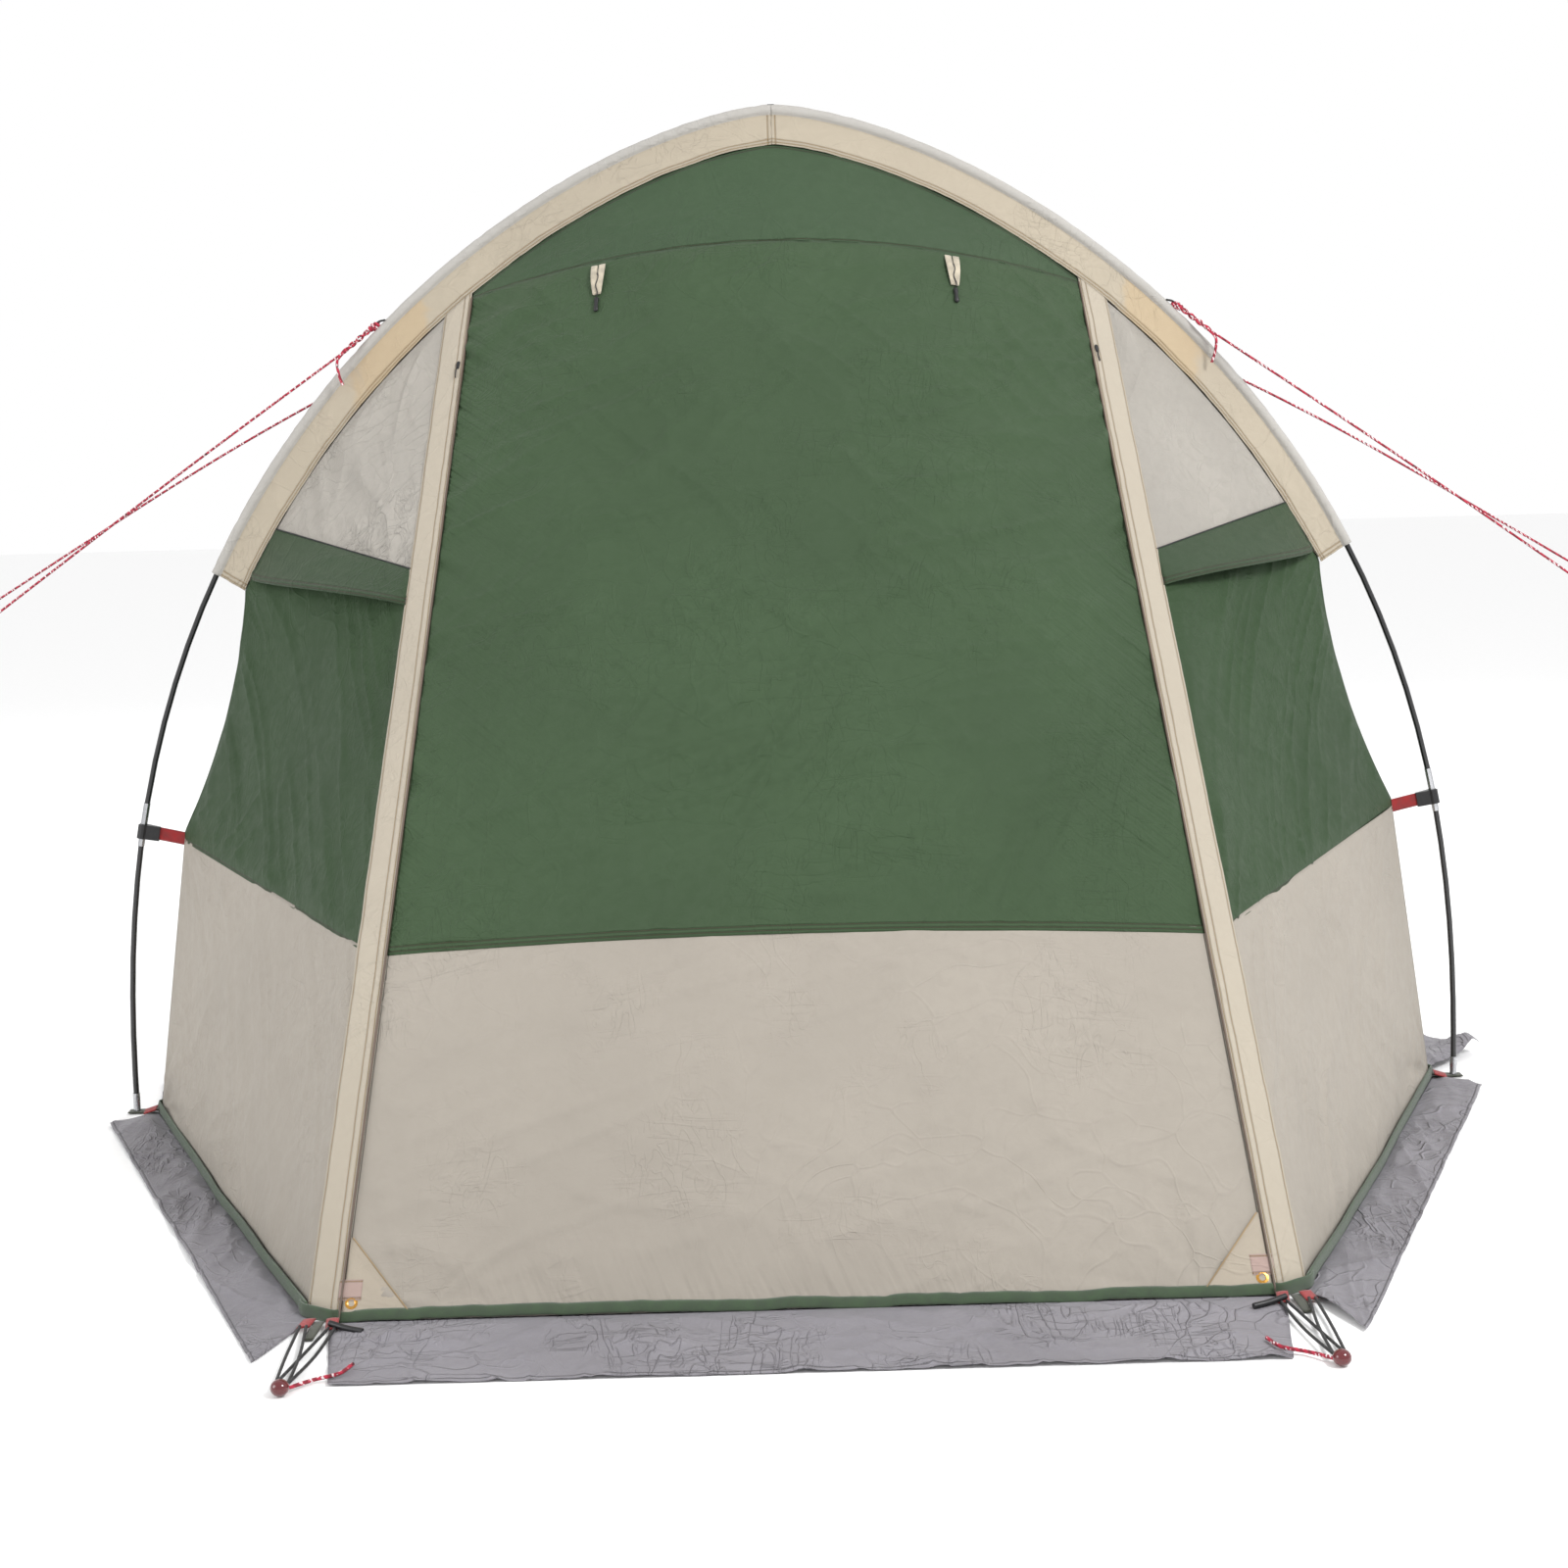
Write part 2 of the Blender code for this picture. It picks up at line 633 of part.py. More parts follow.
def end_walls():
    """Front wall: a gusset, and the flap's green and beige cloths, which swing up about the middle
    of the top seam. The rear wall is sewn shut."""
    gap = SEAM_GAP * 2
    base = run_at_height(WALL_BASE_Z)
    upper_runs = np.linspace(HEM_LENGTH + SEAM_GAP, TOP_SEAM - SEAM_GAP, 9)
    upper = wall_rows(upper_runs, (0.0, 0.2, 0.4, 0.6, 0.8, 1.0), gap)
    corner_run = GROMMET_FROM_BASE * 2
    lower_runs = (base, corner_run, HEM_LENGTH * 0.4, HEM_LENGTH * 0.7, HEM_LENGTH - SEAM_GAP)
    corner_share = 1.0 - GROMMET_FROM_EDGE * 2 / FRONT_HALF_WIDTH
    lower = wall_rows(lower_runs, (0.0, 0.25, 0.5, 0.75, corner_share, 1.0), gap)
    gusset = gusset_grid()
    facing = np.array([0.0, -1.0, 0.5])
    sheet("front_gusset", gusset, "green_fabric", facing)
    hinge = tuple(front_wall(0.0, TOP_SEAM))
    sheet("flap_upper", upper, "green_fabric", facing, origin=hinge)
    flap_lower = sheet("flap_lower", lower, "beige_fabric", facing, origin=hinge)
    for side, tag in ((RIGHT, "right"), (LEFT, "left")):
        grommet(tag, side, flap_lower, hinge)
    rear = facing * np.array([1.0, -1.0, 1.0])
    rear_upper = rear_wall_upper_grid()
    sheet("rear_wall_upper", mirror(rear_upper, 1, REAR), "green_fabric", rear)
    sheet("rear_wall_lower", mirror(lower, 1, REAR), "beige_fabric", rear)


def rear_wall_upper_grid():
    """The rear wall's green cloth goes from the hem seam to the band in one piece."""
    us = np.linspace(-0.985, 0.985, 15)
    grid = []
    for t in np.linspace(0.0, 1.0, 9):
        row = []
        for u in us:
            low = front_wall(u, HEM_LENGTH + SEAM_GAP, SEAM_GAP * 2)
            seam = front_wall(u, TOP_SEAM, SEAM_GAP)
            x = abs(seam[0])
            high = band_edge(band_edge_length(x)) if x > 0.004 else CENTRE_TOP
            high = np.array([seam[0], high[1], high[2]])
            rise = high - seam
            total = (TOP_SEAM - HEM_LENGTH) + np.linalg.norm(rise)
            reach = t * total
            if reach <= TOP_SEAM - HEM_LENGTH:
                row.append(front_wall(u, HEM_LENGTH + SEAM_GAP + reach, SEAM_GAP * 2))
            else:
                share = (reach - (TOP_SEAM - HEM_LENGTH)) / max(np.linalg.norm(rise), 1e-6)
                row.append(seam + rise * min(share, 1.0))
        grid.append(row)
    return np.array(grid)


def grommet(tag, side, flap, hinge):
    """A brass eyelet clenched through the flap's corner, and the hole that it lines."""
    run = GROMMET_FROM_BASE
    foot = STRIP_FOOT + STRIP_LINE * run
    u = 1.0 - GROMMET_FROM_EDGE / foot[0]
    across = front_wall(u + 0.004, run) - front_wall(u - 0.004, run)
    along = front_wall(u, run + 0.004) - front_wall(u, run - 0.004)
    across /= np.linalg.norm(across)
    normal = np.cross(across, along)
    normal /= np.linalg.norm(normal)
    if normal[1] > 0:
        normal = -normal
    centre = front_wall(u, run) + normal * (FABRIC / 2)
    flip = np.array([side, 1.0, 1.0])
    centre, normal, across = centre * flip, normal * flip, across * flip
    upward = np.cross(normal, across)
    sides = 20
    neck = GROMMET_HOLE_RADIUS + 0.0010
    lip = FABRIC / 2 + GROMMET_CLEARANCE
    half = GROMMET_THICKNESS / 2 + 0.0004
    steps = (
        (GROMMET_HOLE_RADIUS, -half),
        (GROMMET_RADIUS, -half),
        (GROMMET_RADIUS, -lip),
        (neck, -lip),
        (neck, lip),
        (GROMMET_RADIUS, lip),
        (GROMMET_RADIUS, half - 0.0004),
        (GROMMET_HOLE_RADIUS + 0.0012, half),
        (GROMMET_HOLE_RADIUS, half - 0.0006),
    )
    points = []
    for radius, out in steps:
        for k in range(sides):
            turn = 2 * math.pi * k / sides
            spoke = across * math.cos(turn) + upward * math.sin(turn)
            points.append(tuple(centre + spoke * radius + normal * out))
    faces = []
    for i in range(len(steps)):
        k = (i + 1) % len(steps)
        for j in range(sides):
            m = (j + 1) % sides
            faces.append((i * sides + j, i * sides + m, k * sides + m, k * sides + j))
    mesh_object(f"grommet_{tag}", points, faces, "brass", smooth=True, origin=hinge)
    cutter_rings = []
    for out in (-0.01, 0.01):
        ring = []
        for k in range(sides):
            turn = 2 * math.pi * k / sides
            spoke = across * math.cos(turn) + upward * math.sin(turn)
            ring.append(tuple(centre + spoke * (neck + 0.0004) + normal * out))
        cutter_rings.append(ring)
    cutter = loft(f"grommet_hole_{tag}", cutter_rings, "brass")
    cutter.hide_render = True
    cutter.display_type = "WIRE"
    cut = flap.modifiers.new(f"hole_{tag}", "BOOLEAN")
    cut.object = cutter
    cut.operation = "DIFFERENCE"
    cut.solver = "EXACT"


def front_strips():
    """Flat cream tapes that cover the corners between the front wall and the side walls."""
    base = WALL_BASE_Z
    for side, tag in ((RIGHT, "right"), (LEFT, "left")):
        grid = []
        for t in np.linspace(0.0, 1.0, 7):
            inner_run = run_at_height(base) + (STRIP_RUN - WALL_GAP - run_at_height(base)) * t
            inner = STRIP_FOOT + STRIP_LINE * inner_run
            outer_top = strip_outer_top()[2] - WALL_GAP
            outer = strip_outer(base + (outer_top - base) * t)
            grid.append([inner, inner + (outer - inner) * 0.5, outer])
        sheet(f"front_strip_{tag}", mirror(grid, side, FRONT), "cream_fabric",
              (side * 0.6, -1.0, 0.3))


def side_cloth(name, levels, side, end, material_name, rows=5, columns=7, lift=0.0):
    """One side panel between two pairs of (corner height, height in the hoop's plane)."""
    corner = strip_outer if end == FRONT else strip_inner
    (front_low, rear_low), (front_high, rear_high) = levels
    grid = []
    for t in np.linspace(0.0, 1.0, rows):
        row = []
        for across in np.linspace(0.0, 1.0, columns):
            front_height = front_low + (front_high - front_low) * t
            back_height = rear_low + (rear_high - rear_low) * t
            row.append(side_wall(across, front_height, back_height, corner))
        grid.append(row)
    grid = np.array(grid)
    if lift:
        outward = np.array([SIDE_PLAN[1], -SIDE_PLAN[0], 0.25])
        outward /= np.linalg.norm(outward)
        share = 1.0 - np.linspace(0.0, 1.0, rows)
        bulge = np.sin(np.linspace(0.0, math.pi, columns))
        grid += outward * lift * share[:, None, None] * bulge[None, :, None]
    grid = mirror(grid, side, end)
    return sheet(name, grid, material_name, outward_of(grid))


def gap_up(level):
    return (level[0] + SEAM_GAP, level[1] + SEAM_GAP)


def gap_down(level):
    return (level[0] - SEAM_GAP, level[1] - SEAM_GAP)


def side_walls():
    base = (WALL_BASE_Z, WALL_BASE_Z)
    seam = (SIDE_SEAM_FRONT_Z, SIDE_SEAM_REAR_Z)
    hood_low = (HOOD_LOW_FRONT_Z, HOOD_LOW_REAR_Z)
    hood_high = (HOOD_HIGH_FRONT_Z, HOOD_HIGH_REAR_Z)
    top_z = strip_outer_top()[2]
    tip = (top_z - VENT_TIP_WIDTH, top_z - VENT_TIP_WIDTH * 0.3)
    rear_z = STRIP_TOP[2]
    rear_tip = (rear_z - VENT_TIP_WIDTH, rear_z - VENT_TIP_WIDTH * 0.3)
    for side, tag in ((RIGHT, "right"), (LEFT, "left")):
        side_cloth(f"side_lower_front_{tag}", (base, gap_down(seam)), side, FRONT, "beige_fabric")
        side_cloth(f"side_middle_front_{tag}", (gap_up(seam), gap_down(hood_low)), side, FRONT,
                   "green_fabric", rows=6)
        side_cloth(f"hood_front_{tag}", (gap_up(hood_low), gap_down(hood_high)), side, FRONT,
                   "green_fabric", rows=3, lift=HOOD_STAND_OFF)
        side_cloth(f"side_vent_front_{tag}", (gap_up(hood_high), tip), side, FRONT,
                   "vent_fabric", rows=6)
        side_cloth(f"side_lower_rear_{tag}", (base, gap_down(seam)), side, REAR, "beige_fabric")
        side_cloth(f"side_upper_rear_{tag}", (gap_up(seam), rear_tip), side, REAR, "green_fabric",
                   rows=10)


# ---- skirts ------------------------------------------------------------------------------------


def skirt(name, start, end, width, taper_start, taper_end, outward):
    """A skirt lying on the ground beside the wall line from start to end."""
    start, end = Vector(start), Vector(end)
    along = (end - start).normalized()
    across = Vector((along.y, -along.x))
    if across.dot(Vector(outward)) < 0:
        across = -across
    outline = [
        start + along * SKIRT_END_GAP,
        end - along * SKIRT_END_GAP,
        end - along * taper_end + across * width,
        start + along * taper_start + across * width,
    ]
    plate(name, [tuple(p) for p in outline], 0.0, SKIRT_THICKNESS, "grey_film")


def skirts():
    corner = strip_outer_foot()
    half = FRONT_HALF_WIDTH + STRIP_WIDTH * SKIRT_START_SHARE
    taper = SKIRT_TAPER + SKIRT_END_GAP
    front_left, front_right = (-half, -FRONT_DEPTH), (half, -FRONT_DEPTH)
    rear_left, rear_right = (-half, FRONT_DEPTH), (half, FRONT_DEPTH)
    skirt("skirt_front", front_left, front_right, FRONT_SKIRT_WIDTH, taper, taper, (0, -1))
    skirt("skirt_rear", rear_left, rear_right, REAR_SKIRT_WIDTH, taper, taper, (0, 1))
    for side, tag in ((RIGHT, "right"), (LEFT, "left")):
        widest = (side * CORNER_HALF_WIDTH, 0.0)
        near = (side * corner[0], corner[1])
        far = (side * corner[0], -corner[1])
        skirt(f"skirt_front_{tag}", near, widest, SIDE_SKIRT_WIDTH, -SIDE_SKIRT_CORNER_REACH,
              SIDE_SKIRT_HOOP_TAPER, (side, -0.3))
        skirt(f"skirt_rear_{tag}", widest, far, SIDE_SKIRT_WIDTH, SIDE_SKIRT_HOOP_TAPER,
              -SIDE_SKIRT_CORNER_REACH, (side, 0.3))


# ---- webbing, clips and small hardware -----------------------------------------------------------


def clip_reach():
    return CLIP_BRACKET_LENGTH + SOCKET_RADIUS


def side_straps():
    """Red webbing from the corner seam out to the bracket of the clip, square to the hoop."""
    point, tangent, normal = hoop_frame(clip_length())
    outer = point - normal * (clip_reach() + CLIP_STRAP_GAP)
    inner_x = strap_corner()[0] + STRAP_FROM_SEAM
    inner = outer - normal * ((outer[0] - inner_x) / normal[0])
    across = np.array([0.0, 1.0, 0.0])
    for side, tag in ((RIGHT, "right"), (LEFT, "left")):
        rings = []
        for end in (inner, outer):
            ring = []
            for y, level in ((-0.5, -0.5), (0.5, -0.5), (0.5, 0.5), (-0.5, 0.5)):
                p = end + across * (y * STRAP_THICKNESS) + tangent * (level * STRAP_HEIGHT)
                ring.append((side * p[0], p[1], p[2]))
            rings.append(ring)
        loft(f"side_strap_{tag}", rings, "red_webbing")


def pole_clips():
    """Snap-on hooks: a C round the ferrule with its mouth outwards, and a bracket for the strap."""
    inner = SOCKET_RADIUS + CLIP_CLEARANCE
    outer = inner + CLIP_WALL
    steps = 12
    for side, tag in ((RIGHT, "right"), (LEFT, "left")):
        flip = np.array([side, 1.0, 1.0])
        point, tangent, normal = (part * flip for part in hoop_frame(clip_length()))
        arc = np.radians(np.linspace(CLIP_MOUTH_ANGLE, 360 - CLIP_MOUTH_ANGLE, steps + 1))
        outline = [(inner * math.cos(a), inner * math.sin(a)) for a in arc[::-1]]
        before = [a for a in arc if a < math.radians(155)]
        after = [a for a in arc if a > math.radians(205)]
        outline += [(outer * math.cos(a), outer * math.sin(a)) for a in before]
        half = CLIP_BRACKET_THICKNESS / 2
        outline += [(-clip_reach(), half), (-clip_reach(), -half)]
        outline += [(outer * math.cos(a), outer * math.sin(a)) for a in after]
        rings = []
        for level in (-0.5, 0.5):
            ring = []
            for out, y in outline:
                p = point + normal * out + np.array([0.0, y, 0.0]) + tangent * (level * CLIP_HEIGHT)
                ring.append(tuple(p))
            rings.append(ring)
        loft(f"pole_clip_{tag}", rings, "black_plastic", origin=tuple(point))


def foot_straps():
    """Olive webbing on the ground from the wall's corner to the foot that it holds."""
    inner_x = CORNER_HALF_WIDTH + 0.006
    outer_x = HOOP_HALF_SPAN + FOOT_STRAP_TAIL
    half = FOOT_STRAP_WIDTH / 2
    for side, tag in ((RIGHT, "right"), (LEFT, "left")):
        outline = [(side * inner_x, -half), (side * outer_x, -half),
                   (side * outer_x, half), (side * inner_x, half)]
        plate(f"foot_strap_{tag}", outline, FOOT_STRAP_Z, FOOT_STRAP_Z + STRAP_THICKNESS, "olive_webbing")


def wall_frame(u, run):
    """Point, across, up-the-cloth and outward directions on the front wall."""
    point = front_wall(u, run)
    across = front_wall(u + 0.01, run) - front_wall(u - 0.01, run)
    up = front_wall(u, run + 0.01) - front_wall(u, run - 0.01)
    across /= np.linalg.norm(across)
    up /= np.linalg.norm(up)
    normal = np.cross(up, across)
    if normal[1] > 0:
        normal = -normal
    normal /= np.linalg.norm(normal)
    return point, across, up, normal


def toggles():
    """Cream loops sewn on just under the top seam, each with a black bar toggle on its end."""
    for side, tag in ((RIGHT, "right"), (LEFT, "left")):
        u = side * LOOP_HALF_SPACING / STRIP_TOP_HALF_WIDTH
        run = TOP_SEAM - LOOP_DROP_BELOW_SEAM
        top, across, up, normal = wall_frame(u, run)
        stand = FABRIC + LOOP_STAND_OFF + LOOP_THICKNESS / 2
        pivot = top + normal * stand
        middle = pivot - up * (LOOP_LENGTH / 2)
        rings = box_frame(middle, across, normal, up, (LOOP_WIDTH, LOOP_THICKNESS, LOOP_LENGTH))
        loft(f"toggle_loop_{tag}", rings, "cream_fabric", origin=tuple(pivot))
        hang = pivot - up * (LOOP_LENGTH + 0.0012)
        end = hang - up * TOGGLE_LENGTH
        rings = []
        for t, scale in ((0.0, 0.55), (0.12, 1.0), (0.88, 1.0), (1.0, 0.55)):
            centre = hang + (end - hang) * t
            ring = []
            for k in range(10):
                turn = 2 * math.pi * k / 10
                spoke = across * math.cos(turn) + normal * math.sin(turn) * 0.6
                ring.append(tuple(centre + spoke * TOGGLE_RADIUS * scale))
            rings.append(ring)
        loft(f"toggle_{tag}", rings, "black_plastic", smooth=True, origin=tuple(hang))


def zip_sliders():
    """Sliders with their pulls, riding just outside the zips at the front wall's two edges."""
    for side, tag in ((RIGHT, "right"), (LEFT, "left")):
        flip = np.array([side, 1.0, 1.0])
        inner = STRIP_FOOT + STRIP_LINE * (STRIP_RUN - SLIDER_FROM_TOP)
        across = STRIP_ACROSS - STRIP_LINE * (STRIP_ACROSS @ STRIP_LINE)
        across /= np.linalg.norm(across)
        normal = np.cross(STRIP_LINE, across)
        if normal[1] > 0:
            normal = -normal
        start = inner + across * (SLIDER_WIDTH / 2 + 0.0008)
        body = start + normal * (FABRIC + SLIDER_STAND_OFF + SLIDER_THICKNESS / 2)
        half = SLIDER_THICKNESS / 2
        low, high = SLIDER_LENGTH / 2, SLIDER_LENGTH / 2 + PULL_LENGTH
        outline = [
            (low, -half), (low, half), (-low, half), (-low, half - 0.0004),
            (-high, half - 0.0004), (-high, half - 0.0004 - PULL_THICKNESS),
            (-low, half - 0.0004 - PULL_THICKNESS), (-low, -half),
        ]
        widths = [SLIDER_WIDTH] * 4 + [PULL_WIDTH] * 2 + [SLIDER_WIDTH] * 2
        rings = []
        for level in (-0.5, 0.5):
            ring = []
            for (up, out), width in zip(outline, widths):
                p = body + STRIP_LINE * up + normal * out + across * (level * width)
                ring.append(tuple(p * flip))
            rings.append(ring)
        loft(f"zip_slider_{tag}", rings, "black_plastic", origin=tuple(body * flip))


def peg_heads():
    """The round heads of the two front pegs, standing on the ground."""
    for side, tag in ((RIGHT, "right"), (LEFT, "left")):
        rings = []
        for share in (0.0, 0.18, 0.42, 0.68, 0.88, 1.0):
            angle = math.pi * (share * 0.86 + 0.14)
            radius = PEG_HEAD_RADIUS * math.sin(angle)
            height = PEG_HEAD_RADIUS * (0.96 + math.cos(angle)) if share < 1.0 else 0.0
            if share == 1.0:
                radius = PEG_HEAD_RADIUS * 0.45
            ring = []
            for k in range(12):
                turn = 2 * math.pi * k / 12
                x = side * PEG_HALF_SPACING + radius * math.cos(turn)
                ring.append((x, -PEG_DEPTH + radius * math.sin(turn), height))
            rings.append(ring)
        loft(f"peg_head_{tag}", rings, "red_plastic", smooth=True)


# ---- guy ropes -----------------------------------------------------------------------------------


def smooth_route(points, count):
    """Points spaced evenly along a smooth curve through the route's own points."""
    knots = np.asarray(points, float)
    padded = np.vstack([2 * knots[0] - knots[1], knots, 2 * knots[-1] - knots[-2]])
    dense = []
    for i in range(1, len(padded) - 2):
        p0, p1, p2, p3 = padded[i - 1:i + 3]
        for t in np.linspace(0.0, 1.0, 40, endpoint=False):
            dense.append(0.5 * (2 * p1 + (p2 - p0) * t + (2 * p0 - 5 * p1 + 4 * p2 - p3) * t * t
                                + (3 * p1 - p0 - 3 * p2 + p3) * t ** 3))
    dense.append(knots[-1])
    dense = np.array(dense)
    run = np.concatenate([[0.0], np.cumsum(np.linalg.norm(np.diff(dense, axis=0), axis=1))])
    marks = np.linspace(0.0, run[-1], count)
    return np.stack([np.interp(marks, run, dense[:, k]) for k in range(3)], axis=1)


def guy_ropes():
    """Two ropes on each side: one tied at the hoop, one at the rear eave band."""
    anchor = hoop_point(HALF_LENGTH * GUY_SHARE)
    for side, tag in ((RIGHT, "right"), (LEFT, "left")):
        for label, route in (("front", FRONT_GUY_ROUTE), ("rear", REAR_GUY_ROUTE)):
            points = smooth_route(anchor + np.array(route), ROPE_POINTS) * np.array([side, 1.0, 1.0])
            cord(f"guy_{label}_{tag}", [tuple(p) for p in points], ROPE_RADIUS, "red_rope")


def build():
    clear_scene()
    hoop_sections()
    bare_ferrules()
    pole_tips()
    shock_cord()
    sleeves()
    end_walls()
    front_strips()
    side_walls()
    skirts()
    side_straps()
    pole_clips()
    foot_straps()
    toggles()
    zip_sliders()
    peg_heads()
    guy_ropes()


build()
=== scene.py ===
"""The hoop tent, dressed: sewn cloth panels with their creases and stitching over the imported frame,
webbing, cords, skirts and small hardware, on a pale floor in soft studio light."""

import math

import bmesh
import bpy
import numpy as np
from mathutils import Matrix, Vector


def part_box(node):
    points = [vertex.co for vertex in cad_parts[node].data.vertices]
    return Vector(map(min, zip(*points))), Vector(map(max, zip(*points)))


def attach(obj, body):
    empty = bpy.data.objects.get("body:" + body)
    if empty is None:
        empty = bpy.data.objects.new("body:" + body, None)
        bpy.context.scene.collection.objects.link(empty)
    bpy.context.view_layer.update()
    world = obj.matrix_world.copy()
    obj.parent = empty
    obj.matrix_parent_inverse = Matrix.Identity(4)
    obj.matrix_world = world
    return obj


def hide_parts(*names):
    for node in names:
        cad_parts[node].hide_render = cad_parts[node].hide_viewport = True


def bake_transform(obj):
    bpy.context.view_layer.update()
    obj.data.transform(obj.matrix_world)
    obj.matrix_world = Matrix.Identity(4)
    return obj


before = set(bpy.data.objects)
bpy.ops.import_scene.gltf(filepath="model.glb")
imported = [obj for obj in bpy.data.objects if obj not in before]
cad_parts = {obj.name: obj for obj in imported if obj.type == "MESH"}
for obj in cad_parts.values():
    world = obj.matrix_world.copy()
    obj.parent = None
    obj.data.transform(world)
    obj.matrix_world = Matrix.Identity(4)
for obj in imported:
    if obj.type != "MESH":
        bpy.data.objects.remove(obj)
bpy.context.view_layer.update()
LEFT, RIGHT = -1, 1
FRONT, REAR = 1, -1
SIDES = ((RIGHT, "right"), (LEFT, "left"))


# ---- sizes, from the frame -------------------------------------------------------------------


def corners(node):
    low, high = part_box(node)
    return np.array(low), np.array(high)


def middle_of(node):
    low, high = corners(node)
    return (low + high) / 2


def unit(vector):
    return np.asarray(vector, float) / np.linalg.norm(vector)


def forwards(vector):
    """The unit vector along this line that points to the front."""
    vector = unit(vector)
    return vector if vector[1] < 0 else -vector


POLE_RADIUS = 0.0055
HOOP_HALF_SPAN = middle_of("pole_tip_right")[0]
HOOP_HEIGHT = corners("pole_crown_left")[1][2] - POLE_RADIUS * 0.92
HOOP_SIDE_POWER = 1.54
HOOP_TOP_POWER = 2.40
FLAP_LOW, FLAP_HIGH = corners("flap_lower")
HALF_WIDTH = FLAP_HIGH[0] + 0.0015
DEPTH = -FLAP_LOW[1] + 0.0015
STRIP_TOP_X = corners("front_strip_right")[0][0]
STRIP_WIDTH = 0.055
BAND_INSET = 0.065
BAND_FORWARD = corners("sleeve_right")[1][1]
SLEEVE_RADIUS = 0.0105
SLEEVE_END_HEIGHT = 1.058
CORNER_X = corners("side_lower_front_right")[1][0]
STRAP_X = 1.172
STRAP_Z = 0.560
CORNER_HOLLOW = 0.022
HEM_RUN = 0.610
SEAM_SHORTFALL = 0.008
SEAM_Z = {FRONT: (0.490, 0.545), REAR: (0.490, 0.545)}
HOOD_LOW = (1.015, 1.044)
HOOD_HIGH = (1.072, 1.138)
GUY_SHARE = 0.6626
FRONT_GUY_ROUTE = ((0.052, -0.020, -0.026), (0.412, -0.075, -0.280), (0.822, -0.130, -0.578))
REAR_GUY_ROUTE = ((-0.048, 0.070, -0.033), (0.362, 0.120, -0.238), (0.902, 0.190, -0.548))
ROPE_POINTS = 34
LOOP_X = 0.322
CLOTH_OVERLAP = 0.012
BAND_LAP = 0.004
BEHIND_BAND = 0.0075
CAMERA_PLACE = (-0.0338, -4.6289, 1.2724)
CAMERA_DEGREES = (("Z", -0.316), ("X", 90.0 - 8.024), ("Z", -1.513))
CAMERA_LENS = 55.33
ROPE_RADIUS = 0.0022
PEG = middle_of("peg_head_right")


def hoop_table():
    angle = np.linspace(0.0, math.pi / 2, 4001)
    x = HOOP_HALF_SPAN * np.cos(angle).clip(0) ** (2 / HOOP_SIDE_POWER)
    z = HOOP_HEIGHT * np.sin(angle).clip(0) ** (2 / HOOP_TOP_POWER)
    steps = np.hypot(np.diff(x), np.diff(z))
    return np.concatenate([[0.0], np.cumsum(steps)]), x, z


HOOP_S, HOOP_X, HOOP_Z = hoop_table()
HALF_LENGTH = float(HOOP_S[-1])


def hoop(s):
    """Points, tangents and outward normals of the right half of the hoop, at lengths s from its foot."""
    s = np.asarray(s, float)
    x, z = np.interp(s, HOOP_S, HOOP_X), np.interp(s, HOOP_S, HOOP_Z)
    low, high = np.clip(s - 0.03, 0, HALF_LENGTH), np.clip(s + 0.03, 0, HALF_LENGTH)
    dx = np.interp(high, HOOP_S, HOOP_X) - np.interp(low, HOOP_S, HOOP_X)
    dz = np.interp(high, HOOP_S, HOOP_Z) - np.interp(low, HOOP_S, HOOP_Z)
    near_top = np.clip((s - (HALF_LENGTH - 0.03)) / 0.03, 0, 1)
    dz = dz * (1 - near_top)
    size = np.hypot(dx, dz)
    zero = np.zeros_like(s)
    point = np.stack([x, zero, z], -1)
    tangent = np.stack([dx / size, zero, dz / size], -1)
    normal = np.stack([dz / size, zero, -dx / size], -1)
    return point, tangent, normal


def beside_hoop(s, outward, forward):
    """Points beside the hoop: outward in its plane, and forward of it."""
    point, _, normal = hoop(s)
    outward = np.asarray(outward, float)[..., None]
    forward = np.asarray(forward, float)[..., None]
    return point + normal * outward + np.array([0.0, -1.0, 0.0]) * forward


GUY_ANCHOR = hoop(HALF_LENGTH * GUY_SHARE)[0]
SLEEVE_START = float(np.interp(SLEEVE_END_HEIGHT, HOOP_Z, HOOP_S))
EDGE_S = np.linspace(SLEEVE_START, HALF_LENGTH, 600)
EDGE = beside_hoop(EDGE_S, -(BAND_INSET + 0.003) + 0 * EDGE_S, BAND_FORWARD + 0 * EDGE_S)


def edge_length(x):
    """Length along the hoop at which the line below the band stands at this x."""
    return np.interp(-np.asarray(x, float), -EDGE[:, 0], EDGE_S)


def edge_at_x(x):
    s = edge_length(x)
    return np.stack([np.interp(s, EDGE_S, EDGE[:, k]) for k in range(3)], -1)


STRIP_FOOT = np.array([HALF_WIDTH, -DEPTH, 0.0])
STRIP_TOP = edge_at_x(STRIP_TOP_X)
STRIP_RUN = float(np.linalg.norm(STRIP_TOP - STRIP_FOOT))
STRIP_LINE = (STRIP_TOP - STRIP_FOOT) / STRIP_RUN
CENTRE_FOOT = np.array([0.0, -DEPTH, 0.0])
CENTRE_TOP = EDGE[-1] * np.array([0.0, 1.0, 1.0])
CENTRE_LINE = unit(CENTRE_TOP - CENTRE_FOOT)
TOP_SEAM = STRIP_RUN - SEAM_SHORTFALL
SIDE_PLAN = unit([CORNER_X - HALF_WIDTH, DEPTH, 0.0])
STRIP_ACROSS = unit(SIDE_PLAN + [1.0, 0.0, 0.0])
OUTER_FOOT = STRIP_FOOT + STRIP_ACROSS * STRIP_WIDTH
OUTER_TOP = edge_at_x(STRIP_TOP[0] + STRIP_ACROSS[0] * STRIP_WIDTH)


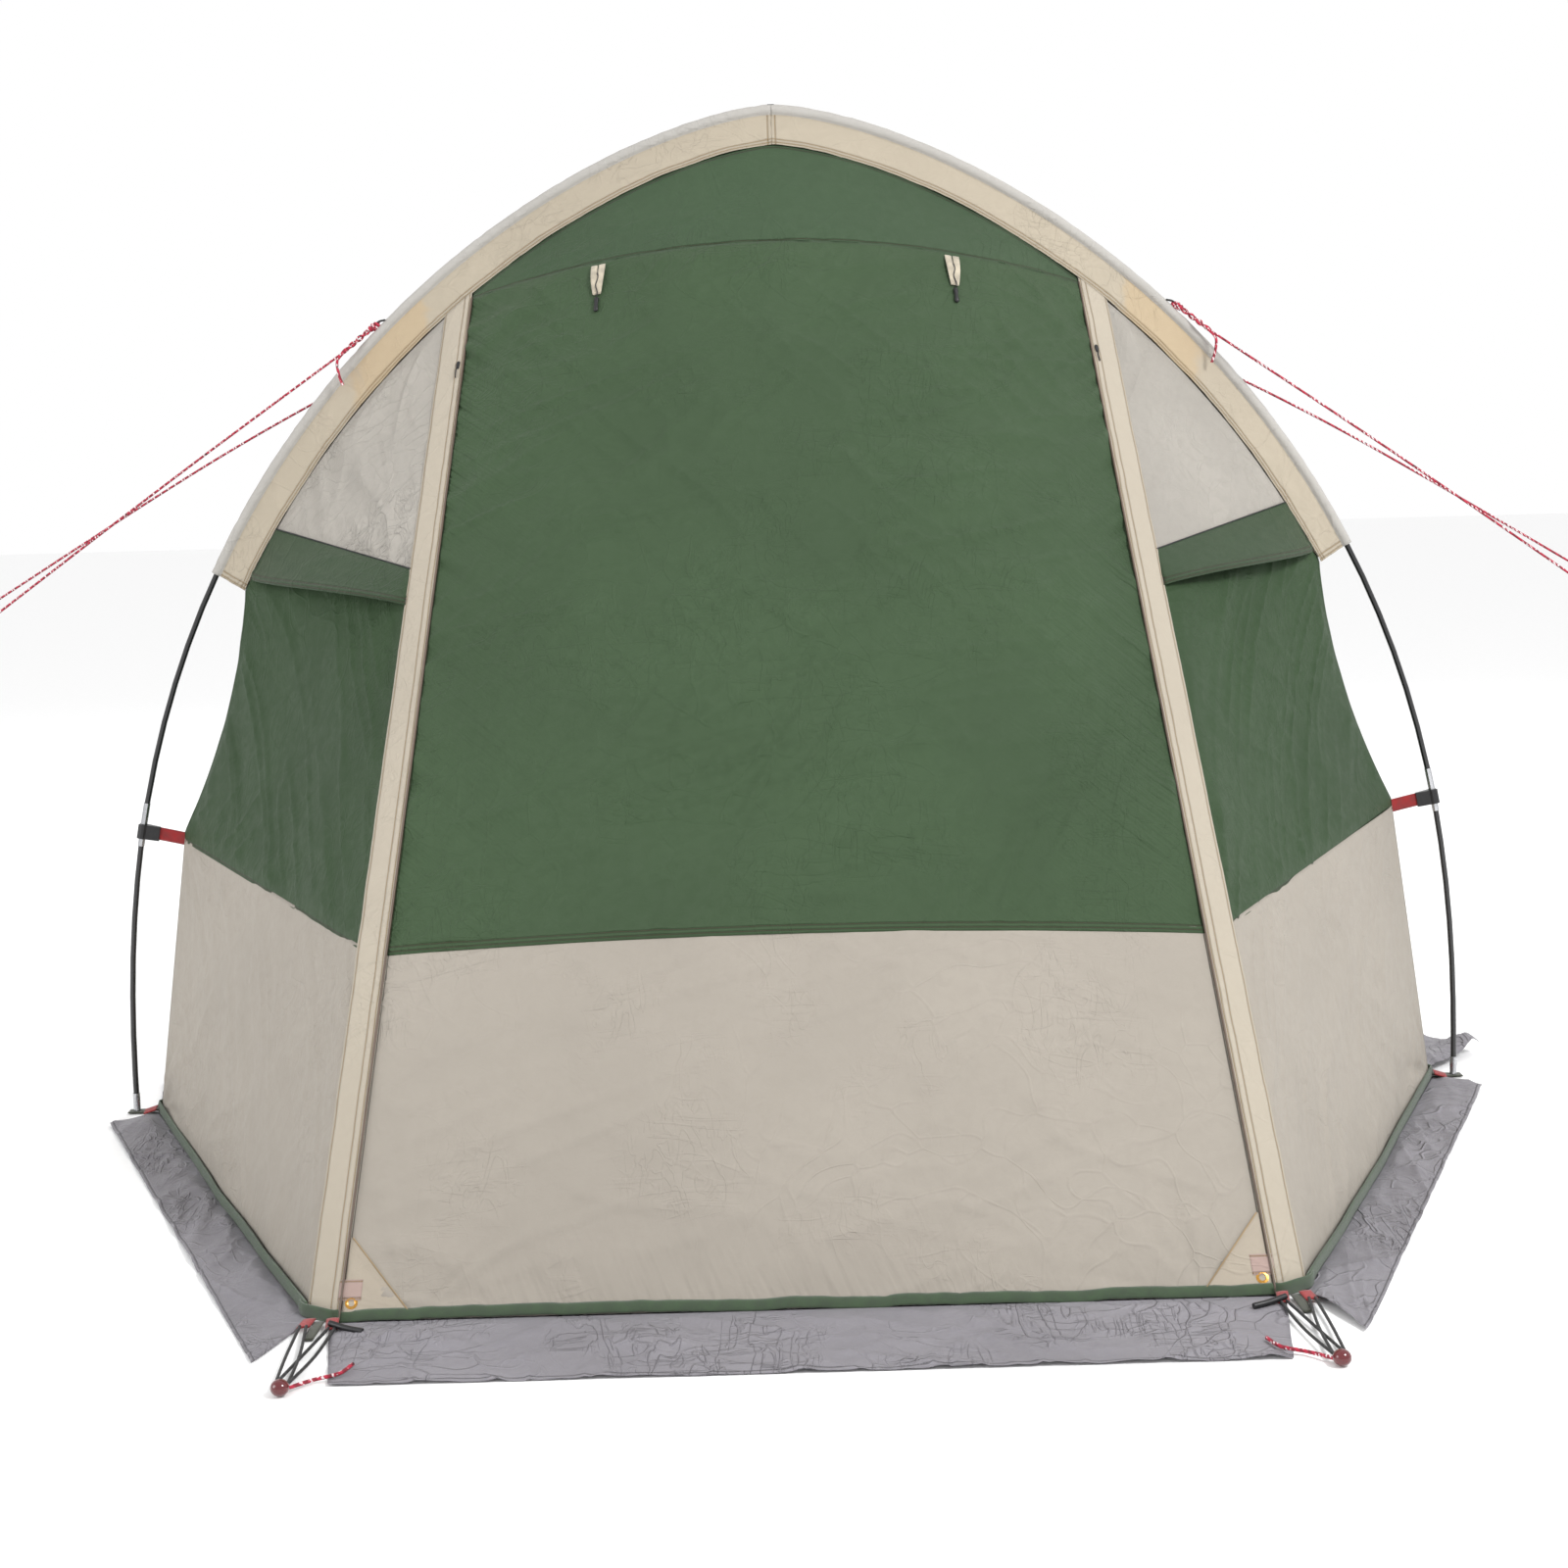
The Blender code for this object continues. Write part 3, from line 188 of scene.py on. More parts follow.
def end_wall(u, run):
    """The front wall, at u across (-1 to 1) and a run of cloth up from the ground."""
    u, run = np.broadcast_arrays(np.asarray(u, float), np.asarray(run, float))
    strip = STRIP_FOOT + STRIP_LINE * run[..., None]
    centre = CENTRE_FOOT + CENTRE_LINE * run[..., None]
    middle = strip + (centre - strip) * (1 - u * u)[..., None]
    middle[..., 0] = u * strip[..., 0]
    return middle


def rear_edge_table():
    z = np.linspace(0.0, STRAP_Z, 40)
    lower = np.stack([CORNER_X + (STRAP_X - CORNER_X) * z / STRAP_Z, 0 * z, z], -1)
    top = EDGE[0]
    t = np.linspace(0.0, 1.0, 60)[1:]
    x = STRAP_X + (top[0] - STRAP_X) * t - CORNER_HOLLOW * 4 * t * (1 - t)
    upper = np.stack([x, top[1] * t * t, STRAP_Z + (top[2] - STRAP_Z) * t], -1)
    return np.vstack([lower, upper, EDGE[1:]])


REAR_EDGE = rear_edge_table()


def band_edge(seam):
    """The line just behind the band's lower edge, straight above each point of a seam."""
    s = edge_length(np.abs(seam[:, 0]))
    line = beside_hoop(s, 0 * s - BAND_INSET + BAND_LAP, 0 * s + BAND_FORWARD - BEHIND_BAND)
    line[:, 0] = seam[:, 0]
    return line


def side_wall(across, corner_z, plane_z, corner=OUTER_FOOT, corner_top=OUTER_TOP):
    """A side wall's points between the end wall's corner and the edge in the hoop's plane."""
    corner_z, plane_z = np.asarray(corner_z, float), np.asarray(plane_z, float)
    near = corner + (corner_top - corner) * (corner_z / corner_top[2])[..., None]
    far = np.stack([np.interp(plane_z, REAR_EDGE[:, 2], REAR_EDGE[:, k]) for k in range(3)], -1)
    return near + (far - near) * np.asarray(across, float)[..., None]


# ---- camera and cords --------------------------------------------------------------------------


def place_camera():
    camera = bpy.data.cameras.new("camera")
    camera.lens = CAMERA_LENS
    camera.sensor_width = 36.0
    camera.clip_end = 60.0
    obj = bpy.data.objects.new("camera", camera)
    bpy.context.scene.collection.objects.link(obj)
    turn, tilt, roll = (Matrix.Rotation(math.radians(angle), 4, axis) for axis, angle in CAMERA_DEGREES)
    obj.matrix_world = Matrix.Translation(CAMERA_PLACE) @ turn @ tilt @ roll
    bpy.context.scene.camera = obj


def smooth_route(points, count):
    """Points spaced evenly along a smooth curve through the route's own points."""
    knots = np.asarray(points, float)
    padded = np.vstack([2 * knots[0] - knots[1], knots, 2 * knots[-1] - knots[-2]])
    dense = []
    for i in range(1, len(padded) - 2):
        p0, p1, p2, p3 = padded[i - 1:i + 3]
        for t in np.linspace(0.0, 1.0, 40, endpoint=False):
            dense.append(0.5 * (2 * p1 + (p2 - p0) * t + (2 * p0 - 5 * p1 + 4 * p2 - p3) * t * t
                                + (3 * p1 - p0 - 3 * p2 + p3) * t ** 3))
    dense.append(knots[-1])
    dense = np.array(dense)
    run = np.concatenate([[0.0], np.cumsum(np.linalg.norm(np.diff(dense, axis=0), axis=1))])
    marks = np.linspace(0.0, run[-1], count)
    return np.stack([np.interp(marks, run, dense[:, k]) for k in range(3)], axis=1)


def line_curve(name, points, radius, material, resolution=3, cyclic=False):
    curve = bpy.data.curves.new(name, "CURVE")
    curve.dimensions = "3D"
    curve.bevel_depth = radius
    curve.bevel_resolution = resolution
    curve.use_fill_caps = True
    spline = curve.splines.new("POLY")
    spline.points.add(len(points) - 1)
    for slot, point in zip(spline.points, points):
        slot.co = (*point, 1.0)
    spline.use_cyclic_u = cyclic
    spline.use_smooth = True
    obj = bpy.data.objects.new(name, curve)
    bpy.context.scene.collection.objects.link(obj)
    curve.materials.append(material)
    return obj


# ---- materials ---------------------------------------------------------------------------------


def srgb(code):
    """A #rrggbb colour as linear red, green, blue and alpha."""
    parts = [int(code[i:i + 2], 16) / 255 for i in (1, 3, 5)]
    line = [p / 12.92 if p <= 0.04045 else ((p + 0.055) / 1.055) ** 2.4 for p in parts]
    return (*line, 1.0)


class Graph:
    """A material's nodes, added one by one with their inputs."""

    def __init__(self, name):
        self.material = bpy.data.materials.new(name)
        self.material.use_nodes = True
        self.tree = self.material.node_tree
        self.shader = self.tree.nodes["Principled BSDF"]

    def add(self, kind, inputs=(), **settings):
        node = self.tree.nodes.new(f"ShaderNode{kind}")
        for key, value in settings.items():
            setattr(node, key, value)
        pairs = inputs.items() if isinstance(inputs, dict) else enumerate(inputs)
        for key, value in pairs:
            if isinstance(value, bpy.types.NodeSocket):
                self.tree.links.new(value, node.inputs[key])
            elif value is not None:
                node.inputs[key].default_value = value
        return node

    def math(self, operation, a, b=None, c=None):
        return self.add("Math", (a, b, c), operation=operation).outputs[0]

    def plus(self, a, b):
        return self.math("ADD", a, b)

    def minus(self, a, b):
        return self.math("SUBTRACT", a, b)

    def mul(self, a, b):
        return self.math("MULTIPLY", a, b)

    def map(self, value, low, high, to_low=0.0, to_high=1.0, smooth=True):
        kind = "SMOOTHSTEP" if smooth else "LINEAR"
        node = self.add("MapRange", (value, low, high, to_low, to_high), interpolation_type=kind)
        return node.outputs[0]

    def mix(self, share, a, b):
        node = self.add("Mix", data_type="RGBA")
        for slot, value in ((0, share), (6, a), (7, b)):
            if isinstance(value, bpy.types.NodeSocket):
                self.tree.links.new(value, node.inputs[slot])
            else:
                node.inputs[slot].default_value = value
        return node.outputs[2]

    def noise(self, vector, scale, detail=3.0, distortion=0.0, roughness=0.55):
        node = self.add("TexNoise", {"Vector": vector, "Scale": scale, "Detail": detail,
                                     "Roughness": roughness, "Distortion": distortion})
        return node.outputs["Fac"]

    def wrinkle(self, vector, scale, turn):
        """Sharp creases drawn out along one direction, that come and go."""
        turned = self.add("Mapping", {"Vector": vector, "Rotation": (0.3, turn, 0.4),
                                      "Scale": scale}).outputs[0]
        wave = self.noise(turned, 1.0, 2.0, 1.2)
        line = self.map(self.math("ABSOLUTE", self.minus(wave, 0.5)), 0.0, 0.035, 1.0, 0.0)
        reach = self.map(self.noise(vector, 4.0, 2.0), 0.46, 0.60)
        return self.mul(line, reach)

    def set(self, **values):
        """Inputs of the shader: linked where the value is a socket, else set on it."""
        for key, value in values.items():
            slot = self.shader.inputs[key.replace("_", " ")]
            if isinstance(value, bpy.types.NodeSocket):
                self.tree.links.new(value, slot)
            else:
                slot.default_value = value

    def bump(self, height, distance, strength=1.0):
        node = self.add("Bump", {"Strength": strength, "Distance": distance, "Height": height})
        self.tree.links.new(node.outputs["Normal"], self.shader.inputs["Normal"])


def darker(color, share):
    return (*(c * share for c in color[:3]), 1.0)


def cloth(name, code, thread, seams=(), crease=0.35, crease_scale=7.0, tone=0.10, rough=0.62,
          sheen=0.06, weave=0.0011, tint=None, relief=1.0, puckers=(), wrinkly=1.0):
    """Woven cloth: its threads, soft creases, uneven tone and rows of stitching, with painted shade in a soft
    band along each seam's groove. Seams are (map, axis, distance) with the map "cloth" measured from the low
    edges and "far" from the others.
    Puckers are (map, axis, pitch, reach, slant, rise) and die out from a sewn edge."""
    g = Graph(name)
    color = srgb(code)
    maps = {key: g.add("UVMap", uv_map=key).outputs[0] for key in ("cloth", "far")}
    split = {key: g.add("SeparateXYZ", (value,)).outputs for key, value in maps.items()}
    place = g.add("TexCoord").outputs["Object"]
    x, y = split["cloth"][0], split["cloth"][1]
    turn = 2 * math.pi / weave
    warp = g.math("SINE", g.mul(x, turn))
    weft = g.math("SINE", g.mul(y, turn))
    threads = g.mul(warp, weft)
    broad = g.noise(place, 2.2, 3.0)
    fine = g.noise(place, 46.0, 5.0, 0.8)
    soft = g.noise(place, 11.0, 4.0, 1.6)
    bent = g.add("VectorMath", (place, g.add("TexNoise", {"Vector": place, "Scale": 3.0}).outputs["Color"]),
                 operation="ADD").outputs[0]
    cells = g.add("TexVoronoi", {"Vector": bent, "Scale": crease_scale},
                  feature="DISTANCE_TO_EDGE").outputs[0]
    folds = g.map(cells, 0.0, 0.05, 1.0, 0.0)
    folds = g.mul(folds, g.map(broad, 0.40, 0.62))
    wrinkles = g.plus(g.wrinkle(place, (5.0, 26.0, 17.0), 0.5), g.wrinkle(place, (27.0, 6.0, 14.0), 1.9))
    folds = g.plus(folds, g.mul(wrinkles, 0.9 * wrinkly))
    base = g.mix(g.map(broad, 0.3, 0.7), darker(color, 1 - tone), darker(color, 1 + tone * 0.5))
    base = g.mix(g.mul(g.map(fine, 0.35, 0.75), 0.35), base, darker(color, 1 - tone * 1.4))
    base = g.mix(g.mul(threads, 0.06), base, darker(color, 1.25))
    if tint:
        code2, key, start, end = tint
        along = g.plus(split[key][1], g.mul(g.minus(soft, 0.5), 0.10))
        mask = g.mul(g.map(along, start, start + 0.03), g.map(along, end - 0.05, end, 1.0, 0.0))
        base = g.mix(g.mul(mask, 0.42), base, srgb(code2))
    height = g.mul(threads, 0.05)
    for layer, share in ((fine, 0.22), (soft, 0.9), (folds, crease)):
        height = g.plus(height, g.mul(layer, share))
    for key, axis, pitch, reach, slant, rise in puckers:
        off, run = split[key][axis], split[key][1 - axis]
        lane = g.math("DIVIDE", g.plus(run, g.mul(off, slant)), pitch)
        spot = g.add("CombineXYZ", (lane, g.mul(off, 7.0), 0.37)).outputs[0]
        fold = g.noise(spot, 1.0, 1.0)
        dying = g.math("EXPONENT", g.mul(off, -1.0 / reach))
        patchy = g.map(g.noise(place, 3.0, 1.0), 0.40, 0.58, 0.35, 1.0)
        height = g.plus(height, g.mul(g.mul(fold, dying), g.mul(patchy, rise)))
    for key, axis, distance in seams:
        off = g.math("ABSOLUTE", g.minus(split[key][axis], distance))
        line = g.map(off, 0.0004, 0.0010, 1.0, 0.0)
        seam_groove_and_shade = g.map(off, 0.0, 0.0032, 1.0, 0.0)
        dash = g.math("FRACT", g.mul(split[key][1 - axis], 260.0))
        dash = g.map(dash, 0.66, 0.74, 1.0, 0.0)
        # Painted shade: the cloth is darkened in a soft band along the seam's groove, where the groove's
        # shade falls.
        base = g.mix(g.mul(seam_groove_and_shade, 0.30), base, darker(color, 0.45))
        base = g.mix(g.mul(line, dash), base, srgb(thread))
        height = g.minus(height, g.mul(seam_groove_and_shade, 0.9))
        height = g.plus(height, g.mul(g.mul(line, dash), 0.6))
    g.set(Base_Color=base, Roughness=g.map(fine, 0.2, 0.8, rough - 0.07, rough + 0.09),
          Sheen_Weight=sheen, Sheen_Roughness=0.5, Specular_IOR_Level=0.22)
    g.bump(height, 0.0030 * relief, 0.8)
    return g.material


def webbing(name, code, second=None, pitch=0.0022):
    """Flat woven tape with a ribbed herringbone."""
    g = Graph(name)
    color = srgb(code)
    place = g.add("TexCoord").outputs["Object"]
    uv = g.add("SeparateXYZ", (g.add("UVMap", uv_map="cloth").outputs[0],)).outputs
    ribs = g.math("SINE", g.mul(uv[1], 2 * math.pi / pitch))
    cross = g.math("SINE", g.mul(uv[0], 2 * math.pi / (pitch * 0.8)))
    knit = g.mul(ribs, cross)
    mottle = g.noise(place, 60.0, 4.0)
    base = g.mix(g.map(mottle, 0.3, 0.7), darker(color, 0.72), darker(color, 1.15))
    base = g.mix(g.map(knit, 0.2, 1.0, 0.0, 0.45), base, second or darker(color, 1.5))
    g.set(Base_Color=base, Roughness=g.map(mottle, 0.2, 0.8, 0.6, 0.85), Sheen_Weight=0.3)
    g.bump(g.plus(knit, g.mul(mottle, 0.6)), 0.0005, 0.6)
    return g.material


def braid(name, code, fleck, dark, white=0.35):
    """Round braided rope with light tracer threads that wind round it."""
    g = Graph(name)
    color = srgb(code)
    place = g.add("TexCoord").outputs["Object"]
    axis = g.add("SeparateXYZ", (place,)).outputs
    along = g.mul(axis[0], 620.0)
    turned = g.plus(along, g.mul(axis[2], 420.0))
    back = g.minus(along, g.mul(axis[1], 640.0))
    first, second = g.math("SINE", turned), g.math("SINE", g.mul(back, 0.63))
    weave = g.mul(first, second)
    specks = g.noise(place, 190.0, 2.0)
    tracer = g.mul(g.map(weave, 0.25, 0.45), g.map(specks, 0.50 - white * 0.4, 0.58 - white * 0.4))
    base = g.mix(g.map(first, -0.8, 0.9), darker(color, 0.55), darker(color, 1.15))
    base = g.mix(tracer, base, srgb(fleck))
    base = g.mix(g.map(specks, 0.62, 0.68), base, srgb(dark))
    g.set(Base_Color=base, Roughness=g.map(specks, 0.2, 0.8, 0.55, 0.8), Sheen_Weight=0.1)
    g.bump(g.mul(g.math("SINE", g.mul(turned, 4.0)), 0.5), 0.0005, 0.5)
    return g.material


def hard(name, code, rough, metallic=0.0, scratch=0.10, coat=0.0):
    """Moulded, lacquered or drawn surfaces: fine scuffs and uneven gloss."""
    g = Graph(name)
    color = srgb(code)
    place = g.add("TexCoord").outputs["Object"]
    broad = g.noise(place, 9.0, 3.0)
    grain = g.noise(place, 240.0, 4.0)
    base = g.mix(g.map(broad, 0.3, 0.7), darker(color, 0.85), darker(color, 1.12))
    g.set(Base_Color=base, Metallic=metallic, Coat_Weight=coat,
          Roughness=g.map(grain, 0.25, 0.75, max(rough - scratch, 0.05), rough + scratch))
    g.bump(grain, 0.0002, 0.25)
    return g.material


# ---- folds -----------------------------------------------------------------------------------------


def noise(x, y, seed):
    """Smooth noise from -1 to 1 that repeats only after 64 steps."""
    table = np.random.default_rng(seed).random((64, 64)) * 2 - 1
    x0, y0 = np.floor(x).astype(int), np.floor(y).astype(int)
    fx, fy = x - x0, y - y0
    fx, fy = fx * fx * (3 - 2 * fx), fy * fy * (3 - 2 * fy)
    a, b = table[x0 % 64, y0 % 64], table[(x0 + 1) % 64, y0 % 64]
    c, d = table[x0 % 64, (y0 + 1) % 64], table[(x0 + 1) % 64, (y0 + 1) % 64]
    return (a + (b - a) * fx) * (1 - fy) + (c + (d - c) * fx) * fy


def ripple(x, y, size, seed):
    """Soft unevenness over several sizes."""
    total = noise(x / size, y / size, seed)
    total = total + 0.5 * noise(x / size * 2.1, y / size * 2.1, seed + 1)
    return total + 0.25 * noise(x / size * 4.3, y / size * 4.3, seed + 2)


def ridges(x, y, size, stretch, angle, seed):
    """Narrow creases drawn out along one direction."""
    c, s = math.cos(angle), math.sin(angle)
    along, across = x * c + y * s, y * c - x * s
    bend = 0.35 * size * noise(along / (size * 4), across / (size * 4), seed + 9)
    n = noise(along / (size * stretch), (across + bend) / size, seed)
    return (1 - np.abs(n)) ** 5 * (0.5 + 0.5 * noise(along / (size * 6), across / (size * 3), seed + 5))


def fan(x, y, corner, reach, folds, seed):
    """Folds that radiate from a point where the cloth is held."""
    dx, dy = x - corner[0], y - corner[1]
    r = np.hypot(dx, dy)
    angle = np.arctan2(dy, dx)
    wave = noise(angle * folds + 20, r * 2.0 + 7, seed)
    return wave * np.exp(-(r / reach) ** 1.4) * (1 - np.exp(-r / 0.03))


def gather(distance, along, pitch, reach, slant, seed):
    """Puckers that start at a sewn edge and die out into the cloth."""
    place = (along + slant * distance) / pitch
    return noise(place + 30, distance * 6 + 3, seed) * np.exp(-distance / reach)


def fade(value, low, high):
    t = np.clip((value - low) / (high - low), 0, 1)
    return t * t * (3 - 2 * t)


# ---- meshes -----------------------------------------------------------------------------------------


def link(name, mesh, *materials):
    obj = bpy.data.objects.new(name, mesh)
    bpy.context.scene.collection.objects.link(obj)
    for material in materials:
        mesh.materials.append(material)
    return obj


class Sheet:
    """A grid of points with its lengths across and along, for folds to be added to."""

    def __init__(self, points, outward):
        self.points = np.array(points, float)
        self.flat = self.points.copy()
        step = np.linalg.norm(np.diff(self.flat, axis=1), axis=2)
        rise = np.linalg.norm(np.diff(self.flat, axis=0), axis=2)
        self.x = np.concatenate([np.zeros((len(step), 1)), np.cumsum(step, 1)], 1)
        self.y = np.concatenate([np.zeros((1, rise.shape[1])), np.cumsum(rise, 0)], 0)
        self.far_x = self.x[:, -1:] - self.x
        self.far_y = self.y[-1:, :] - self.y
        normal = np.cross(np.gradient(self.flat, axis=1), np.gradient(self.flat, axis=0))
        normal /= np.maximum(np.linalg.norm(normal, axis=2, keepdims=True), 1e-9)
        if (normal.reshape(-1, 3).mean(0) @ np.asarray(outward, float)) < 0:
            normal = -normal
        self.normal = normal
        self.edge = np.minimum(np.minimum(self.x, self.far_x), np.minimum(self.y, self.far_y))

    def lift(self, height):
        self.points = self.points + self.normal * np.asarray(height)[..., None]
        return self

    def area(self):
        a = np.gradient(self.flat, axis=1)
        b = np.gradient(self.flat, axis=0)
        cell = np.linalg.norm(np.cross(a, b), axis=2)
        cell[0, :] *= 0.5
        cell[-1, :] *= 0.5
        cell[:, 0] *= 0.5
        cell[:, -1] *= 0.5
        return float(cell.sum())

    def build(self, name, *materials, thickness=0.0008, picks=None):
        """The mesh, with its two maps in metres and its thickness inwards."""
        rows, columns, _ = self.points.shape
        index = np.arange(rows * columns).reshape(rows, columns)
        quads = np.stack([index[:-1, :-1], index[:-1, 1:], index[1:, 1:], index[1:, :-1]], -1)
        a = self.points[:-1, 1:] - self.points[:-1, :-1]
        b = self.points[1:, :-1] - self.points[:-1, :-1]
        facing = (np.cross(a, b) * self.normal[:-1, :-1]).sum()
        quads = quads.reshape(-1, 4)
        if facing < 0:
            quads = quads[:, ::-1]
        mesh = bpy.data.meshes.new(name)
        mesh.from_pydata(self.points.reshape(-1, 3), [], quads.tolist())
        order = np.empty(len(mesh.loops), np.int32)
        mesh.loops.foreach_get("vertex_index", order)
        for key, u, v in (("cloth", self.x, self.y), ("far", self.far_x, self.far_y)):
            layer = mesh.uv_layers.new(name=key)
            pairs = np.stack([u.ravel()[order], v.ravel()[order]], -1)
            layer.data.foreach_set("uv", pairs.ravel())
        if picks is not None:
            mesh.polygons.foreach_set("material_index", picks[:-1, :-1].ravel().astype(np.int32))
        mesh.shade_smooth()
        obj = link(name, mesh, *materials)
        if thickness:
            solid = obj.modifiers.new("thickness", "SOLIDIFY")
            solid.thickness = thickness
            solid.offset = -1.0
        return obj


def flip(points, side, end=FRONT):
    return np.asarray(points) * np.array([side, end, 1.0])


def fix(obj, body, nodes=()):
    """A piece rides on its body and stands for its CAD nodes."""
    if body:
        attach(obj, body)
    if nodes:
        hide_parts(*nodes)
    return obj


def strand(name, points, radius, material, body="tent"):
    """A short cord that rides on a body."""
    return fix(line_curve(name, points, radius, material), body)


CLOTHS = []
TRIMS = {}


def declare(obj, sheet, body, nodes, held="stretched"):
    """A cloth piece rides on its body and stands for its nodes; it is kept in a list, and its size is worked
    out at the end but not used.
    """
    fix(obj, body, nodes)
    CLOTHS.append((obj, sheet, held))


def trim(obj, cloth_name, body):
    """A tape, patch or cord that is sewn to a cloth."""
    TRIMS.setdefault(cloth_name, []).append(fix(obj, body))


def declare_cloths():
    for obj, sheet, held in CLOTHS:
        wide = float(sheet.x[:, -1].max())
        tall = float(sheet.y[-1, :].max())
        min(sheet.area(), wide * tall)


def mesh_piece(name, points, faces, material, bevel=0.0, smooth=True):
    mesh = bpy.data.meshes.new(name)
    mesh.from_pydata([tuple(p) for p in points], [], [tuple(f) for f in faces])
    bm = bmesh.new()
    bm.from_mesh(mesh)
    bmesh.ops.recalc_face_normals(bm, faces=bm.faces)
    bm.to_mesh(mesh)
    bm.free()
    if smooth:
        mesh.shade_smooth()
    obj = link(name, mesh, material)
    if bevel:
        mod = obj.modifiers.new("bevel", "BEVEL")
        mod.width = bevel
        mod.segments = 2
        mod.limit_method = "ANGLE"
    return obj


def ribbon(name, path, across, width, material, thickness=0.0018, columns=7, crown=0.0, lift=None):
    """A tape that follows a path, with its width along the given directions."""
    path = np.asarray(path, float)
    across = np.asarray(across, float)
    if across.ndim == 1:
        across = np.tile(across, (len(path), 1))
    across = across / np.linalg.norm(across, axis=1, keepdims=True)
    offsets = np.linspace(-0.5, 0.5, columns) * width
    grid = path[:, None, :] + across[:, None, :] * offsets[None, :, None]
    guide = lift if lift is not None else np.cross(path[-1] - path[0], across[0])
    made = Sheet(grid, guide)
    if crown:
        made.lift(crown * (1 - (offsets / (width / 2))[None, :] ** 2) * np.ones(made.x.shape))
    return made.build(name, material, thickness=thickness)


# ---- the pieces --------------------------------------------------------------------------------------


def make_materials():
    tan, cream, brown = "#8e744c", "#b9b1a3", "#3d3324"
    edge = [("cloth", 0, 0.006), ("far", 0, 0.006)]
    lining = ("#b59a70", "far", HALF_LENGTH - edge_length(0.60), HALF_LENGTH - edge_length(0.77))
    m = {}
    sides = [("cloth", 0, 0.011, 0.10, 0.9, 5.0), ("far", 0, 0.011, 0.10, 0.9, 5.0)]
    foot = [("cloth", 1, 0.016, 0.07, 0.5, 3.5)]
    m["green"] = cloth("green_cloth", "#364a30", brown, [("cloth", 1, 0.006), ("cloth", 1, 0.014)] + edge,
                       rough=0.50, puckers=sides)
    m["green_plain"] = cloth("green_cloth_plain", "#2c4126", brown, [("cloth", 1, 0.005)], rough=0.55,
                             sheen=0.03, puckers=[("cloth", 0, 0.018, 0.08, 0.6, 3.0)])
    m["gusset"] = cloth("gusset_cloth", "#374b33", brown, [("cloth", 1, 0.004), ("far", 1, 0.012)], rough=0.5,
                        puckers=[("cloth", 1, 0.020, 0.03, 0.2, 2.0)])
    m["hood"] = cloth("hood_cloth", "#2f412a", brown, [("cloth", 1, 0.004), ("cloth", 1, 0.012)], rough=0.5)
    m["beige"] = cloth("beige_cloth", "#9c958b", cream, edge, tone=0.06, puckers=foot)
    m["band"] = cloth("band_cloth", "#a89e8d", tan, [("cloth", 0, 0.004), ("cloth", 0, 0.010),
                                                    ("cloth", 1, 0.004), ("cloth", 1, 0.012),
                                                    ("far", 1, 0.007)], crease=0.5, tone=0.05, tint=lining,
                      puckers=[("cloth", 0, 0.020, 0.020, 1.0, 2.5), ("cloth", 1, 0.010, 0.06, 0.4, 4.0)])
    m["sleeve"] = cloth("sleeve_cloth", "#a6a39e", tan, (), crease=0.4, tone=0.05, relief=0.6)
    m["strip"] = cloth("strip_cloth", "#aca394", tan, [("cloth", 0, 0.004), ("cloth", 0, 0.016),
                                                      ("far", 0, 0.005)], tone=0.05,
                       puckers=[("cloth", 0, 0.022, 0.02, 0.6, 1.8), ("far", 1, 0.020, 0.10, 0.4, 2.5)])
    m["patch"] = cloth("patch_cloth", "#a89e8f", tan, [("cloth", 1, 0.004)], tone=0.05)
    m["pink_patch"] = cloth("pink_patch_cloth", "#a8928a", tan,
                            [("cloth", 1, 0.003), ("far", 1, 0.003)], tone=0.05)
    m["vent"] = cloth("vent_cloth", "#a8a39b", cream, (), crease=0.35, crease_scale=13.0, tone=0.12,
                      rough=0.45, relief=2.0, wrinkly=2.2)
    m["skirt"] = cloth("skirt_film", "#918e94", "#5a585c", [("far", 1, 0.008)], crease=1.4,
                       crease_scale=9.0, tone=0.12, rough=0.40, sheen=0.02, relief=1.8)
    m["binding"] = webbing("binding_tape", "#35492f", pitch=0.0016)
    m["red"] = webbing("red_webbing_tape", "#8d1013")
    m["olive"] = webbing("olive_webbing_tape", "#2f3322")
    m["black_tape"] = webbing("black_webbing_tape", "#191a1c")
    m["cream_tape"] = webbing("cream_tape", "#b3a995")
    m["rope"] = braid("red_braid", "#a01030", "#dccacc", "#2a1016", 0.2)
    m["black_cord"] = braid("black_braid", "#161618", "#39393b", "#060606", 0.1)
    m["pole"] = hard("pole_lacquer", "#141416", 0.32, coat=0.3)
    m["silver"] = hard("drawn_aluminium", "#b9babd", 0.30, 1.0)
    m["brass"] = hard("stamped_brass", "#b98a45", 0.28, 1.0)
    m["black"] = hard("black_nylon", "#151517", 0.42)
    m["red_knob"] = hard("red_knob_plastic", "#5c0c14", 0.18, coat=0.6, scratch=0.05)
    m["elastic"] = braid("elastic_cover", "#b9b6b0", "#efece6", "#6b6862", 0.2)
    m["tan_thread"] = hard("tan_thread", "#9c8460", 0.6)
    # Dark brown for the zip coils, which are partly the real zips and partly painted shadow under the strips'
    # inner edges.
    m["thread"] = hard("zip_nylon_and_painted_shadow", "#5b4b3f", 0.5)
    return m


def guy_ropes(m):
    for side, tag in SIDES:
        for label, route in (("front", FRONT_GUY_ROUTE), ("rear", REAR_GUY_ROUTE)):
            points = flip(smooth_route(GUY_ANCHOR + np.array(route), ROPE_POINTS), side)
            rope = fix(line_curve(f"rope_{label}_{tag}", points, ROPE_RADIUS, m["rope"], 4), "tent",
                       [f"guy_{label}_{tag}"])
            knot = rope_end_knot(f"rope_knot_{label}_{tag}", points[-1], points[-1] - points[-2], m["rope"])


